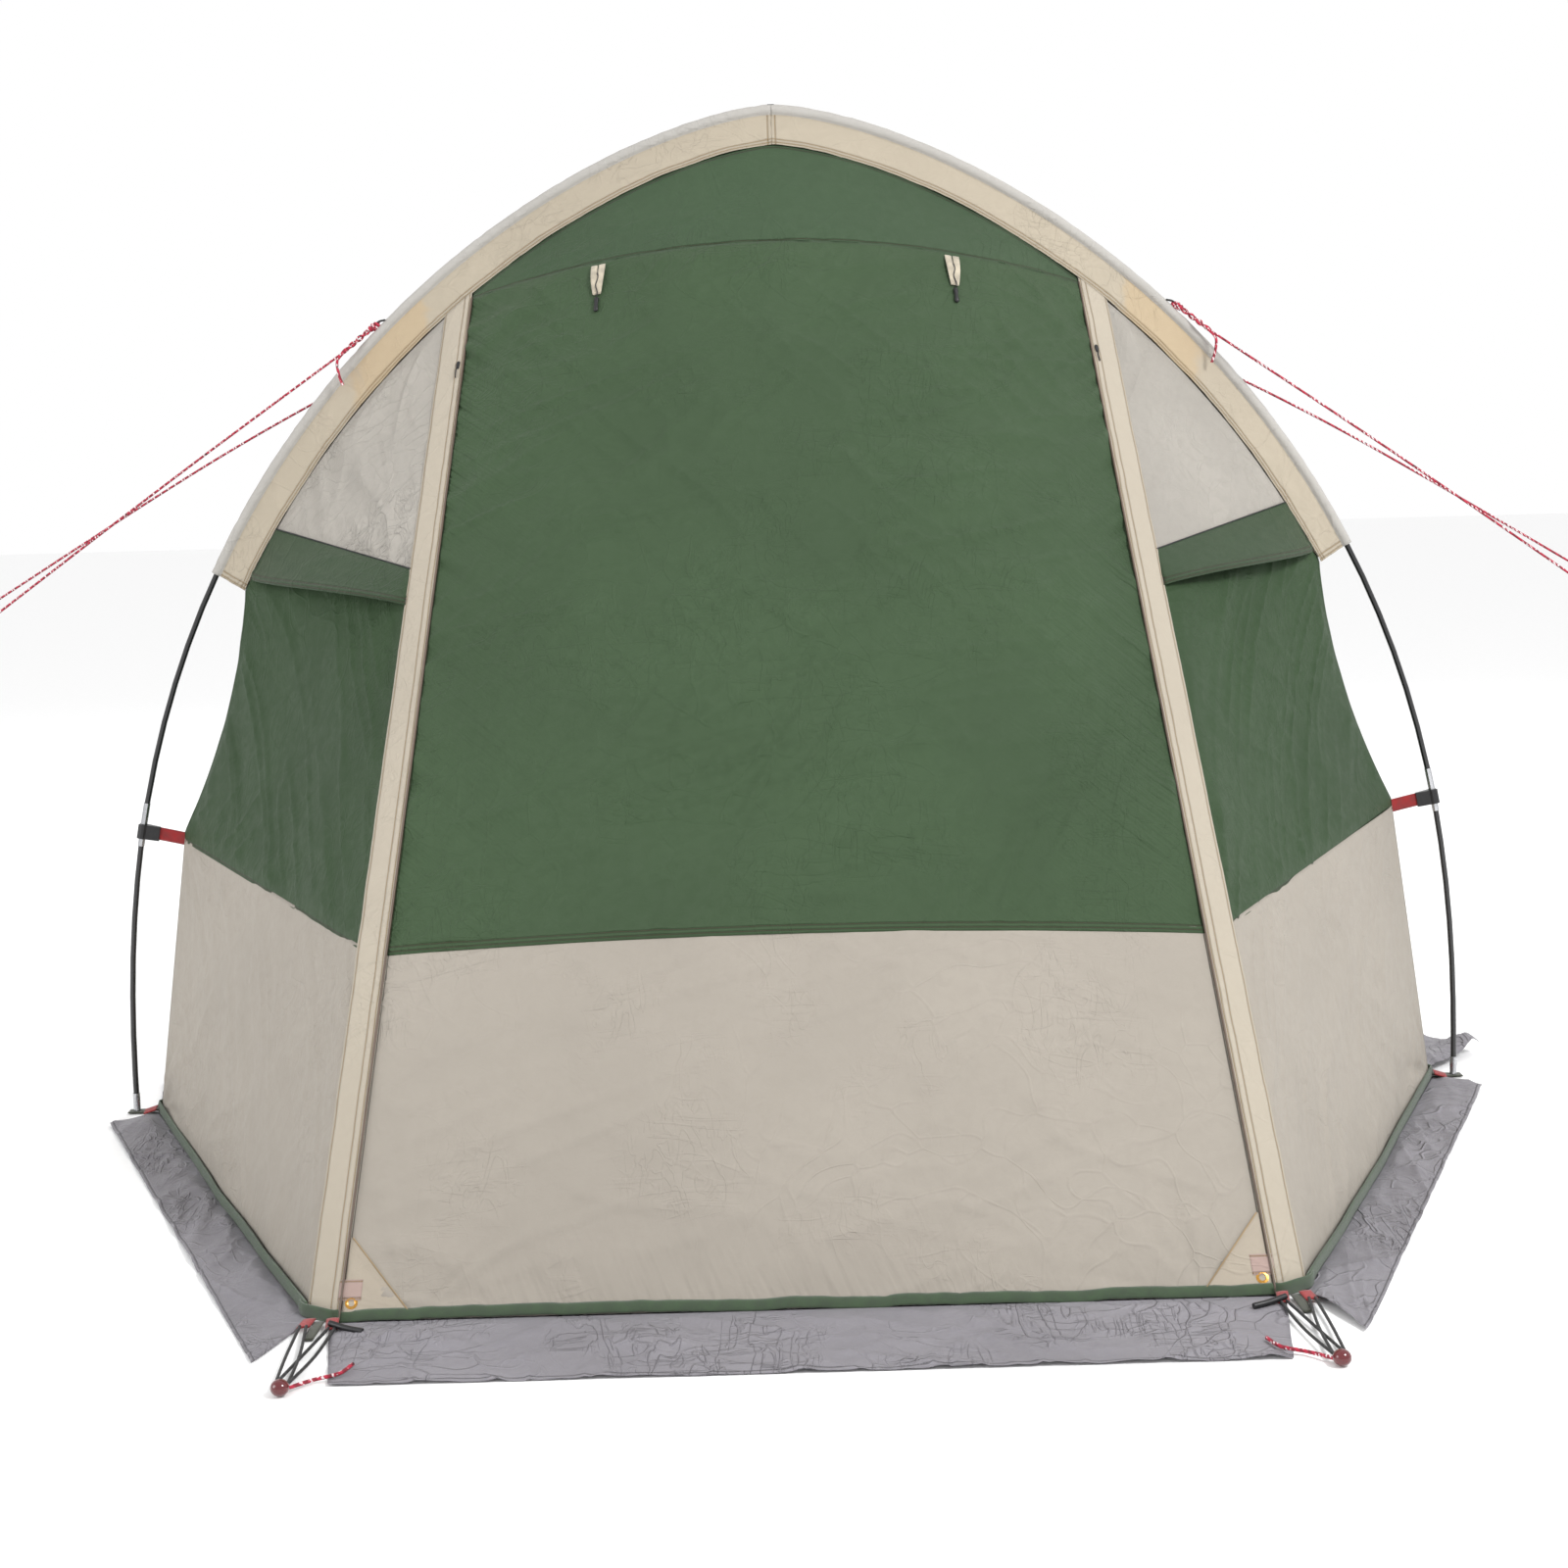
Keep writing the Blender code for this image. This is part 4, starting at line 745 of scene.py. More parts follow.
def rope_end_knot(name, end, direction, material):
    """A small overhand knot on the last few millimetres of a rope."""
    direction = unit(direction)
    side = unit(np.cross(direction, [0.0, 0.0, 1.0]))
    up = np.cross(side, direction)
    t = np.linspace(0, 2 * math.pi, 42)
    a = (np.sin(t) + 2 * np.sin(2 * t)) / 3
    b = (np.cos(t) - 2 * np.cos(2 * t)) / 3
    c = -np.sin(3 * t) / 3
    points = (end - direction * 0.003)[None] + 0.0042 * (a[:, None] * side + b[:, None] * up
                                                         + c[:, None] * direction)
    return fix(line_curve(name, points[:-1], ROPE_RADIUS * 0.8, material, cyclic=True), "tent")


def front_wall(m):
    columns = np.linspace(-1, 1, 211)
    hinge = end_wall(0.0, TOP_SEAM)
    # gusset
    rows = np.linspace(0, 1, 24)
    us = np.linspace(-0.995, 0.995, 171)
    seam = end_wall(us, TOP_SEAM)
    high = band_edge(seam)
    grid = seam[None] + (high - seam)[None] * rows[:, None, None]
    gusset = Sheet(grid, (0, -1, 0.4))
    inner = fade(gusset.edge, 0.0, 0.03)
    folds = 0.0030 * ridges(gusset.x, gusset.y, 0.030, 6, 0.12, 11) * inner
    folds += 0.0022 * ridges(gusset.x, gusset.y, 0.022, 8, -0.08, 13) * inner
    folds += 0.0020 * gather(gusset.y, gusset.x, 0.020, 0.03, 0.0, 12) * fade(gusset.far_y, 0, 0.02)
    gusset.lift(folds - 0.0006)
    obj = gusset.build("gusset", m["gusset"])
    declare(obj, gusset, "tent", ["front_gusset"])
    # flap, green cloth
    runs = np.linspace(HEM_RUN - CLOTH_OVERLAP, TOP_SEAM, 190)
    flap = end_sheet(columns, runs)
    flap.lift(flap_folds(flap))
    flap.lift(0.0006 * (1 - fade(flap.y, 0.010, 0.020)))
    upper = flap.build("flap_green", m["green"])
    declare(upper, flap, None, ["flap_upper"])
    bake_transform(upper)
    # flap, beige cloth
    runs = np.linspace(0.004, HEM_RUN, 84)
    hem = end_sheet(columns, runs)
    inner = fade(np.minimum(hem.x, hem.far_x), 0.0, 0.05)
    rise = 0.0042 * ridges(hem.x, hem.y, 0.055, 5, 0.35, 31) * inner
    rise += 0.0042 * ridges(hem.far_x, hem.y, 0.050, 5, 0.35, 32) * inner
    rise += 0.0040 * fan(hem.x, hem.y, (0.11, 0.0), 0.22, 9, 33)
    rise += 0.0040 * fan(hem.far_x, hem.y, (0.11, 0.0), 0.22, 9, 34)
    rise += 0.0034 * gather(hem.y, hem.x, 0.045, 0.05, 0.4, 35) * fade(hem.y, 0.02, 0.05)
    rise += 0.0026 * ripple(hem.x, hem.y, 0.22, 36) * inner
    edge = fade(hem.edge, 0.0, 0.018)
    hem.lift(rise * edge * fade(hem.far_y, 0.0, 0.03) - 0.0004)
    lower = hem.build("flap_beige", m["beige"])
    declare(lower, hem, "front_flap", ["flap_lower"])
    corner_patches(m)
    hem_tape(m)


def flap_folds(flap):
    """The pull of the zips: slanting puckers along both strips, more of them towards the top."""
    total = 0.0
    for distance, seed in ((flap.x, 21), (flap.far_x, 22)):
        high = fade(flap.y, 0.25, 0.75)
        total = total + 0.0060 * gather(distance, flap.y, 0.020, 0.095, 0.9, seed) * high
        total = total + 0.0040 * gather(distance, flap.y, 0.040, 0.20, 0.7, seed + 4)
        slant = ridges(distance, flap.y, 0.045, 5, -0.75, seed + 6)
        total = total + 0.0070 * slant * high * fade(distance, 0.0, 0.1)
    total = total + 0.0030 * ripple(flap.x, flap.y, 0.26, 25)
    total = total + 0.0080 * ridges(flap.x, flap.y, 0.045, 6, 0.25, 26)
    total = total + 0.0075 * ridges(flap.x, flap.y, 0.030, 7, 1.1, 27) * fade(flap.y, 0.9, 0.2)
    inner = fade(np.minimum(flap.x, flap.far_x), 0.0, 0.016)
    for _, tag in SIDES:
        low, high = corners(f"toggle_loop_{tag}")
        below = corners(f"toggle_{tag}")[0]
        across = (flap.points[..., 0] - (low[0] + high[0]) / 2) / 0.085
        height = (flap.points[..., 2] - (below[2] + high[2]) / 2) / 0.115
        inner = inner * (1 - np.exp(-(across ** 2 + height ** 2) ** 2))
    return total * inner * fade(flap.y, 0.0, 0.03) * fade(flap.far_y, 0.0, 0.03)


def corner_patches(m):
    """Cream triangles sewn over the flap's two lower corners."""
    for side, tag in SIDES:
        rows, columns = 22, 20
        grid = np.zeros((rows, columns, 3))
        for i, t in enumerate(np.linspace(0, 1, rows)):
            run = 0.006 + 0.125 * t
            edge = 0.990
            inner = edge - (0.155 - 0.150 * t)
            grid[i] = end_wall(np.linspace(inner, edge, columns), run)
        patch = Sheet(flip(grid, side), (0, -1, 0.4))
        patch.lift(0.0021 + 0.0008 * ripple(patch.x, patch.y, 0.03, 41) * fade(patch.edge, 0, 0.01))
        seam = line_curve(f"corner_seam_{tag}", patch.points[:, 0] + [0, -0.0006, 0],
                          0.0009, m["tan_thread"], 2)
        trim(seam, "flap_beige", "front_flap")
        trim(patch.build(f"corner_patch_{tag}", m["patch"]), "flap_beige", "front_flap")
        low, high = corners(f"grommet_{tag}")
        inner = low[0] - 0.004 if side == RIGHT else -high[0] - 0.004
        us = side * np.linspace(inner, inner + 0.034, 12) / (HALF_WIDTH - 0.002)
        square = end_sheet(us, np.linspace(0.034, 0.066, 12))
        square.lift(0.0026 + 0.0004 * ripple(square.x, square.y, 0.02, 43))
        trim(square.build(f"corner_square_{tag}", m["pink_patch"]), "flap_beige", "front_flap")


def tape(name, path, across, width, m, lift, crown=0.0012):
    """A length of the green binding tape."""
    return ribbon(name, path, across, width, m["binding"], 0.0030, 7, crown, lift)


def end_sheet(us, runs, end=FRONT):
    """A sheet in the front or rear wall, over the given places across and runs of cloth."""
    return Sheet(flip(end_wall(us[None, :], runs[:, None]), RIGHT, end), (0, -end, 0.4))


def hem_tape(m):
    """Green tape folded round the foot of every wall."""
    u = np.linspace(-1.0, 1.0, 140)
    base = end_wall(u, 0.013)
    base[:, 1] -= 0.0034
    wander = 0.0022 * noise(u * 9 + 5, 0 * u, 51) + 0.0012 * noise(u * 31 + 5, 0 * u, 52)
    base[:, 2] += wander
    up = np.tile(STRIP_LINE * [0, 1, 1], (len(u), 1))
    trim(tape("hem_tape_front", base, up, 0.018, m, (0, -1, 0.4)), "flap_beige", "front_flap")
    for side, tag in SIDES:
        for end, label in ((FRONT, "front"), (REAR, "rear")):
            t = np.linspace(0.0, 1.0, 120)
            start = OUTER_FOOT if end == FRONT else STRIP_FOOT
            line = start + (REAR_EDGE[0] - start) * t[:, None]
            outward = np.array([SIDE_PLAN[1], -SIDE_PLAN[0], 0.0])
            line = line + outward * (base_sag(t) + 0.0036)[:, None]
            line[:, 2] = 0.0135 + 0.0016 * noise(t * 14 + 3, 0 * t, 55 + side * 2 + end)
            rise = np.array([-0.10, 0.10, 1.0])
            obj = tape(f"hem_tape_{label}_{tag}", flip(line, side, end), flip(rise, side, end), 0.020, m,
                       (side, -end, 0.2))
            trim(obj, f"side_beige_{label}_{tag}", "tent")
    base = end_wall(u, 0.013) * [1, -1, 1]
    base[:, 1] += 0.0034
    obj = tape("hem_tape_rear", base, up * [1, -1, 1], 0.018, m, (0, 1, 0.4))
    trim(obj, "rear_beige", "tent")


def corner_tapes(m):
    """The green tape's turns over the feet of the strips and the pieces of it at the rear corners."""
    for side, tag in SIDES:
        for end, label in ((FRONT, "front"), (REAR, "rear")):
            start = STRIP_FOOT + [-0.006, -0.0046, 0.013]
            middle = STRIP_FOOT + [0.004, -0.0050, 0.013]
            outer = OUTER_FOOT if end == FRONT else STRIP_FOOT + [0.010, 0.010, 0]
            goal = outer + [0.0056, -0.0032, 0.013]
            past = goal + SIDE_PLAN * 0.020 + [0.0012, 0, 0]
            turn = (middle + goal) / 2 + [0.0015, -0.0015, 0.001]
            path = smooth_route([start, middle, turn, goal, past], 26)
            obj = tape(f"hem_tape_turn_{label}_{tag}", flip(path, side, end), (0, 0.1 * end, 1), 0.021, m,
                       (side * 0.5, -end, 0.2), 0.0010)
            trim(obj, f"side_beige_{label}_{tag}", "tent")


def base_sag(share):
    """How far a side wall's foot bows out between its corners."""
    return 0.0070 * np.sin(np.pi * share) + 0.0020 * noise(share * 6 + 2, 0 * share, 53)


def strips(m):
    """Cream tapes with the zips under their inner edges; each zip is drawn dark brown so that it also stands
    for the painted shadow under the strip's edge.
    """
    for side, tag in SIDES:
        t = np.linspace(0.0, 1.0, 200)
        run = 0.006 + (STRIP_RUN + 0.004 - 0.006) * t
        inner = STRIP_FOOT + STRIP_LINE * run[:, None]
        outer = OUTER_FOOT + (OUTER_TOP - OUTER_FOOT) * (run / STRIP_RUN)[:, None]
        v = np.linspace(-0.10, 1.06, 16)
        grid = inner[:, None] + (outer - inner)[:, None] * v[None, :, None]
        strip = Sheet(flip(grid, side), (side * 0.6, -1, 0.3))
        arch = 0.0020 * (1 - (np.linspace(-1, 1, 16) ** 4))[None, :]
        rise = 0.0012 + arch + 0.0008 * ripple(strip.x, strip.y, 0.05, 61 + side)
        rise += 0.0016 * gather(strip.x, strip.y, 0.035, 0.03, 0.5, 63 + side) * fade(strip.y, 0.9, 1.5)
        strip.lift(rise)
        obj = strip.build(f"strip_{tag}", m["strip"], thickness=0.0010)
        declare(obj, strip, "tent", [f"front_strip_{tag}"])
        # Dark-brown zip coil just inside the strip's edge: partly the real zip, partly painted shadow under
        # the strip.
        coil = inner + STRIP_ACROSS * -0.0052 + np.array([0.0, -0.0020, 0.0012])
        zip_and_shadow_line = line_curve(f"zip_coil_{tag}", flip(coil[::2], side), 0.0017, m["thread"], 2)
        trim(zip_and_shadow_line, f"strip_{tag}", "tent")


def side_panel(name, low, high, side, end, material, nodes, rows, columns, seed, lift=None, vent=False):
    """One cloth between two seams, each given by its heights at the corner and in the hoop's plane."""
    t = np.linspace(0, 1, rows)[:, None]
    v = np.linspace(0, 1, columns)[None, :]
    corner_z = low[0] + (high[0] - low[0]) * t + 0 * v
    plane_z = low[1] + (high[1] - low[1]) * t + 0 * v
    if end == FRONT:
        grid = side_wall(v + 0 * t, corner_z, plane_z)
    else:
        grid = side_wall(v + 0 * t, corner_z, plane_z, STRIP_FOOT, STRIP_TOP)
    sheet = Sheet(flip(grid, side, end), (side, -end * 0.6, 0.3))
    inner = fade(sheet.edge, 0.0, 0.035)
    rise = 0.0050 * ripple(sheet.x, sheet.y, 0.20, seed) * inner
    rise = rise + 0.0055 * ridges(sheet.x, sheet.y, 0.040, 6, 1.15, seed + 1) * inner
    rise = rise + 0.0050 * ridges(sheet.x, sheet.y, 0.050, 5, -0.5, seed + 2) * inner
    if vent:
        rise = rise + 0.0080 * ridges(sheet.x, sheet.y, 0.045, 4, 0.4, seed + 3) * inner
        rise = rise + 0.0070 * ridges(sheet.x, sheet.y, 0.040, 4, 1.9, seed + 4) * inner
    if lift is not None:
        rise = rise + lift(sheet)
    sheet.lift(rise)
    obj = sheet.build(name, material)
    declare(obj, sheet, "tent", nodes)
    return sheet


def lower_folds(seed):
    """Folds of a lower side cloth: pulled from the strap's corner, bunched along the foot."""
    def rise(sheet):
        share = sheet.x / sheet.x[:, -1:]
        base = 0.010 * gather(sheet.y, sheet.x, 0.075, 0.07, 0.6, seed) * fade(sheet.x, 0.05, 0.3)
        base = base * fade(sheet.y, 0.015, 0.06) + base_sag(share) * np.exp(-sheet.y / 0.10)
        top = 0.006 * fan(sheet.far_x, sheet.y, (0.0, 0.0), 0.30, 7, seed + 1)
        pull = 0.004 * fan(sheet.far_x, sheet.far_y, (0.0, 0.0), 0.25, 9, seed + 2)
        return (base + top + pull) * fade(sheet.x, 0.0, 0.05) * fade(sheet.far_x, 0.0, 0.03)
    return rise


def side_walls(m):
    base = (0.012, 0.012)
    for side, tag in SIDES:
        seed = 100 + 10 * side
        seam = SEAM_Z[FRONT]
        side_panel(f"side_beige_front_{tag}", base, seam, side, FRONT, m["beige"],
                   [f"side_lower_front_{tag}"], 66, 130, seed, lower_folds(seed + 3))
        over = (seam[0] - 0.006, seam[1] - 0.006)
        top = (HOOD_LOW[0] + 0.020, HOOD_LOW[1] + 0.010)
        side_panel(f"side_green_front_{tag}", over, top, side, FRONT, m["green_plain"],
                   [f"side_middle_front_{tag}"], 76, 110, seed + 200)
        hood(side, tag, m)
        vent_low = (HOOD_HIGH[0] - 0.010, HOOD_HIGH[1] - 0.010)
        tip = (OUTER_TOP[2] + 0.010, OUTER_TOP[2] + 0.013)
        side_panel(f"vent_{tag}", vent_low, tip, side, FRONT, m["vent"], [f"side_vent_front_{tag}"],
                   70, 70, seed + 400, vent=True)
        seam = SEAM_Z[REAR]
        side_panel(f"side_beige_rear_{tag}", base, seam, side, REAR, m["beige"],
                   [f"side_lower_rear_{tag}"], 56, 110, seed + 500, lower_folds(seed + 503))
        over = (seam[0] - 0.006, seam[1] - 0.006)
        tip = (STRIP_TOP[2] + 0.010, STRIP_TOP[2] + 0.013)
        side_panel(f"side_green_rear_{tag}", over, tip, side, REAR, m["green_plain"],
                   [f"side_upper_rear_{tag}"], 110, 90, seed + 600)


def seam_gussets(m):
    """Narrow green darts that close the side walls up to the open end of the sleeve."""
    for side, tag in SIDES:
        height = np.linspace(STRAP_Z - 0.01, EDGE[0][2] + 0.012, 60)
        edge = np.stack([np.interp(height, REAR_EDGE[:, 2], REAR_EDGE[:, k]) for k in range(3)], -1)
        v = np.linspace(-1, 1, 9)[None, :]
        grid = np.repeat(edge[:, None], 9, 1)
        reach = np.abs(edge[:, 1:2]) + 0.0015
        grid[:, :, 1] = v * reach
        grid[:, :, 0] += 0.25 * reach * (1 - v * v) - 0.0008
        sheet = Sheet(flip(grid, side), (side, 0, 0))
        sheet.lift(0.0012 * noise(sheet.y / 0.04, sheet.x * 20, 77 + side) * (1 - v * v))
        trim(sheet.build(f"side_dart_{tag}", m["green_plain"]), f"side_green_rear_{tag}", "tent")


def hood(side, tag, m):
    """The rain hood of the vent: stitched along its top, standing off the wall along its hem."""
    rows, columns = 26, 90
    t = np.linspace(0, 1, rows)[:, None]
    v = np.linspace(0, 1, columns)[None, :]
    drop = 0.016 * np.sin(np.pi * v) ** 0.5
    low = (HOOD_LOW[0] - 0.004, HOOD_LOW[1] + 0.004)
    corner_z = low[0] + (HOOD_HIGH[0] - low[0]) * t - drop * (1 - t) * 0.4
    plane_z = low[1] + (HOOD_HIGH[1] - low[1]) * t - drop * (1 - t)
    grid = side_wall(v + 0 * t, corner_z, plane_z)
    sheet = Sheet(flip(grid, side), (side, -0.6, 0.3))
    stand = 0.040 * (1 - t) ** 0.8 * np.sin(np.pi * np.clip(v * 1.02, 0, 1)) ** 0.6
    creases = ridges(sheet.x, sheet.y, 0.03, 6, 0.1, 71 + side) * fade(sheet.edge, 0, 0.02)
    rise = 0.0016 + stand + 0.0040 * creases
    rise = rise + 0.0030 * np.sin(np.pi * np.clip(sheet.y / 0.02, 0, 1)) * (sheet.y < 0.02)
    sheet.lift(rise)
    obj = sheet.build(f"hood_{tag}", m["hood"], thickness=0.0012)
    declare(obj, sheet, "tent", [f"hood_front_{tag}"])
    piping = line_curve(f"hood_piping_{tag}", sheet.points[-1] + sheet.normal[-1] * 0.0008, 0.0011,
                        m["black_cord"], 2)
    trim(piping, obj.name, "tent")


def rear_wall(m):
    columns = np.linspace(-1, 1, 130)
    runs = np.linspace(0.004, HEM_RUN, 64)
    hem = end_sheet(columns, runs, REAR)
    rise = 0.0035 * ridges(hem.x, hem.y, 0.055, 5, 0.35, 81) + 0.0030 * ripple(hem.x, hem.y, 0.22, 82)
    rise += 0.0040 * gather(hem.y, hem.x, 0.060, 0.06, 0.4, 83)
    hem.lift(rise * fade(hem.edge, 0.0, 0.03))
    obj = hem.build("rear_beige", m["beige"])
    declare(obj, hem, "tent", ["rear_wall_lower"])
    runs = np.linspace(HEM_RUN - CLOTH_OVERLAP, TOP_SEAM, 120)
    low = end_wall(columns[None, :] * 0.999, runs[:, None])
    seam = low[-1]
    high = band_edge(seam)
    rest = seam[None] + (high - seam)[None] * np.linspace(0, 1, 18)[1:, None, None]
    wall = Sheet(np.vstack([low, rest]) * [1, -1, 1], (0, 1, 0.4))
    rise = 0.0030 * ridges(wall.x, wall.y, 0.055, 6, 0.3, 84) + 0.0030 * ripple(wall.x, wall.y, 0.25, 85)
    rise += 0.0030 * gather(wall.x, wall.y, 0.04, 0.10, 0.8, 86)
    rise += 0.0030 * gather(wall.far_x, wall.y, 0.04, 0.10, 0.8, 87)
    wall.lift(rise * fade(wall.edge, 0.0, 0.04) + 0.0006)
    obj = wall.build("rear_green", m["green"])
    declare(obj, wall, "tent", ["rear_wall_upper"])


def sleeve_section():
    """Section of sleeve and bands from the front hem over the pole to the rear hem, as (outward,
    forward), with 1 where it is the tube."""
    radius = SLEEVE_RADIUS
    join = math.radians(148)
    start = np.array([radius * math.cos(join), radius * math.sin(join)])
    hem = np.array([-BAND_INSET - 0.001, BAND_FORWARD])
    t = np.linspace(0, 1, 15)[:-1, None]
    front = hem + (start - hem) * t
    arc = np.linspace(join, -join, 17)
    tube = np.stack([radius * np.cos(arc), radius * np.sin(arc)], -1)
    rear = (front * [1, -1])[::-1]
    section = np.vstack([front, tube, rear])
    is_tube = np.concatenate([np.zeros(14), np.ones(16), np.zeros(15)])
    return section, is_tube


def sleeves(m):
    section, is_tube = sleeve_section()
    s = np.linspace(SLEEVE_START - 0.004, HALF_LENGTH, 330)
    for side, tag in SIDES:
        grid = np.stack([beside_hoop(s, 0 * s + o, 0 * s + f) for o, f in section], 1)
        sheet = Sheet(flip(grid, side), (side, 0, 1))
        sheet.normal = section_normals(grid, side)
        on_band = 1 - is_tube[None, :]
        across = np.minimum(sheet.x, sheet.far_x)
        inner = fade(np.abs(across - 0.035), 0.040, 0.012)
        rise = 0.0042 * ridges(across, sheet.y, 0.050, 4, 1.0, 90 + side) * on_band * inner
        rise = rise + 0.0024 * noise(sheet.y / 0.06 + across * 14, across * 9, 92 + side) * on_band
        rise = rise + 0.0007 * noise(sheet.y / 0.014, across * 60, 94 + side)
        end = np.exp(-sheet.y / 0.05)
        rise = rise + 0.0040 * noise(across / 0.012 + 4, sheet.y / 0.05, 96 + side) * end * on_band
        sheet.lift(rise)
        picks = np.tile(is_tube[None, :], (len(s), 1))
        obj = sheet.build(f"sleeve_cloth_{tag}", m["band"], m["sleeve"], thickness=0.0010, picks=picks)
        declare(obj, sheet, "tent", [f"sleeve_{tag}"])


def section_normals(grid, side):
    """Normals that point away from the pole and out of the two bands."""
    along = np.gradient(grid, axis=0)
    across = np.gradient(grid, axis=1)
    normal = np.cross(along, across)
    normal /= np.maximum(np.linalg.norm(normal, axis=2, keepdims=True), 1e-9)
    middle = grid.shape[1] // 2
    outward = hoop(np.linspace(SLEEVE_START, HALF_LENGTH, grid.shape[0]))[2]
    if (normal[:, middle] * outward).sum() < 0:
        normal = -normal
    return flip(normal, side)


def skirt(name, start, end, start_out, end_out, nodes, m, seed, fold=0.0):
    """A skirt on the ground, rumpled where it is sewn to the wall."""
    start, end, start_out, end_out = (np.array([*p, 0.0]) for p in (start, end, start_out, end_out))
    long = np.linalg.norm(end - start)
    columns = int(long / 0.009) + 2
    rows = int(np.linalg.norm(start_out - start) / 0.008) + 6
    u = np.linspace(0, 1, columns)[None, :, None]
    v = np.linspace(0, 1, rows)[:, None, None]
    grid = (start + (end - start) * u) * (1 - v) + (start_out + (end_out - start_out) * u) * v
    sheet = Sheet(grid, (0, 0, 1))
    height = 0.0080 * (0.5 + 0.5 * ripple(sheet.x, sheet.y, 0.09, seed)) * np.exp(-sheet.y / 0.16)
    height = height + 0.0085 * ridges(sheet.x, sheet.y, 0.050, 4, 0.5, seed + 1).clip(0)
    height = height + 0.0080 * ridges(sheet.x, sheet.y, 0.042, 4, -0.6, seed + 2).clip(0)
    height = height + 0.0060 * ridges(sheet.x, sheet.y, 0.035, 5, 1.5, seed + 3).clip(0)
    height = 0.0016 + height * fade(sheet.y, 0.0, 0.045)
    if fold:
        height = height + fold * np.exp(-((sheet.x - 0.03) / 0.05) ** 2)
        height = height + fold * 0.7 * np.exp(-((sheet.far_y - 0.03) / 0.03) ** 2) * np.exp(-sheet.x / 0.12)
    sheet.lift(height.clip(0.0010))
    obj = sheet.build(name, m["skirt"], thickness=0.0008)
    declare(obj, sheet, "tent", nodes, held="laid")


def skirts(m):
    out_y, rear_y = corners("skirt_front")[0][1], corners("skirt_rear")[1][1]
    skirt("ground_skirt_front", (-HALF_WIDTH - 0.010, -DEPTH + 0.004), (HALF_WIDTH + 0.010, -DEPTH + 0.004),
          (-HALF_WIDTH + 0.032, out_y), (HALF_WIDTH - 0.032, out_y), ["skirt_front"], m, 111)
    skirt("ground_skirt_rear", (-HALF_WIDTH - 0.010, DEPTH - 0.004), (HALF_WIDTH + 0.010, DEPTH - 0.004),
          (-HALF_WIDTH + 0.032, rear_y), (HALF_WIDTH - 0.032, rear_y), ["skirt_rear"], m, 121)
    widest = corners("skirt_front_right")[1][0]
    corner = OUTER_FOOT
    for side, tag in SIDES:
        skirt(f"ground_skirt_front_{tag}", (side * (corner[0] - 0.008), corner[1] - 0.012),
              (side * (CORNER_X + 0.004), -0.006), (side * 0.792, -1.354), (side * (widest - 0.006), -0.092),
              [f"skirt_front_{tag}"], m, 131 + side)
        reach = 1.402 if side == RIGHT else 1.300
        far = 0.168 if side == RIGHT else 0.220
        skirt(f"ground_skirt_rear_{tag}", (side * (CORNER_X + 0.004), 0.016),
              (side * (corner[0] - 0.008), -corner[1] + 0.012), (side * reach, far), (side * 0.800, 1.300),
              [f"skirt_rear_{tag}"], m, 141 + side, fold=0.022 if side == RIGHT else 0.004)


def carried_over(m):
    """The CAD pieces whose own shape is right get their surfaces."""
    names = {"pole": m["pole"], "ferrule": m["silver"], "pole_tip": m["silver"], "grommet": m["brass"],
             "pole_clip": m["black"], "shock_cord": m["elastic"]}
    for node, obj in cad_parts.items():
        key = next((k for k in sorted(names, key=len, reverse=True) if node.startswith(k)), None)
        if key and obj.type == "MESH":
            obj.data.materials.clear()
            obj.data.materials.append(names[key])


def ends_of(node, side):
    """A strap's x at its inner and outer end."""
    low, high = corners(node)
    return (low[0], high[0]) if side == RIGHT else (high[0], low[0])


def side_straps(m):
    for side, tag in SIDES:
        middle = middle_of(f"side_strap_{tag}")
        inner_x, outer_x = ends_of(f"side_strap_{tag}", side)
        slope = 0.23
        xs = np.linspace(inner_x - side * 0.006, outer_x + side * 0.006, 14)
        path = np.stack([xs, 0 * xs, middle[2] + slope * side * (xs - middle[0])], -1)
        path[:, 1] = -0.0006 + 0.0012 * np.sin(np.linspace(0, 3, 14))
        fix(ribbon(f"webbing_side_{tag}", path, (-side * slope, 0, 1), 0.025, m["red"], 0.0018, 7, 0.0003,
                        (0, -1, 0)), "tent", [f"side_strap_{tag}"])
        inner_x, outer_x = ends_of(f"foot_strap_{tag}", side)
        xs = np.linspace(inner_x - side * 0.010, outer_x, 18)
        path = np.stack([xs, 0 * xs, 0.0042 + 0.005 * np.exp(-np.abs(xs - inner_x) / 0.012)], -1)
        fix(ribbon(f"webbing_foot_{tag}", path, (0, 1, 0), 0.026, m["olive"], 0.0018, 7, 0.0002, (0, 0, 1)),
            "tent", [f"foot_strap_{tag}"])
        tab = np.stack([np.linspace(CORNER_X + 0.003, CORNER_X + 0.028, 8), np.full(8, -0.020),
                        0.016 - np.linspace(0, 0.008, 8)], -1)
        fix(ribbon(f"webbing_tab_{tag}", flip(tab, side), (0, 1, 0.3), 0.018, m["red"], 0.0018, 6, 0.0003,
                        (0, -0.3, 1)), "tent")


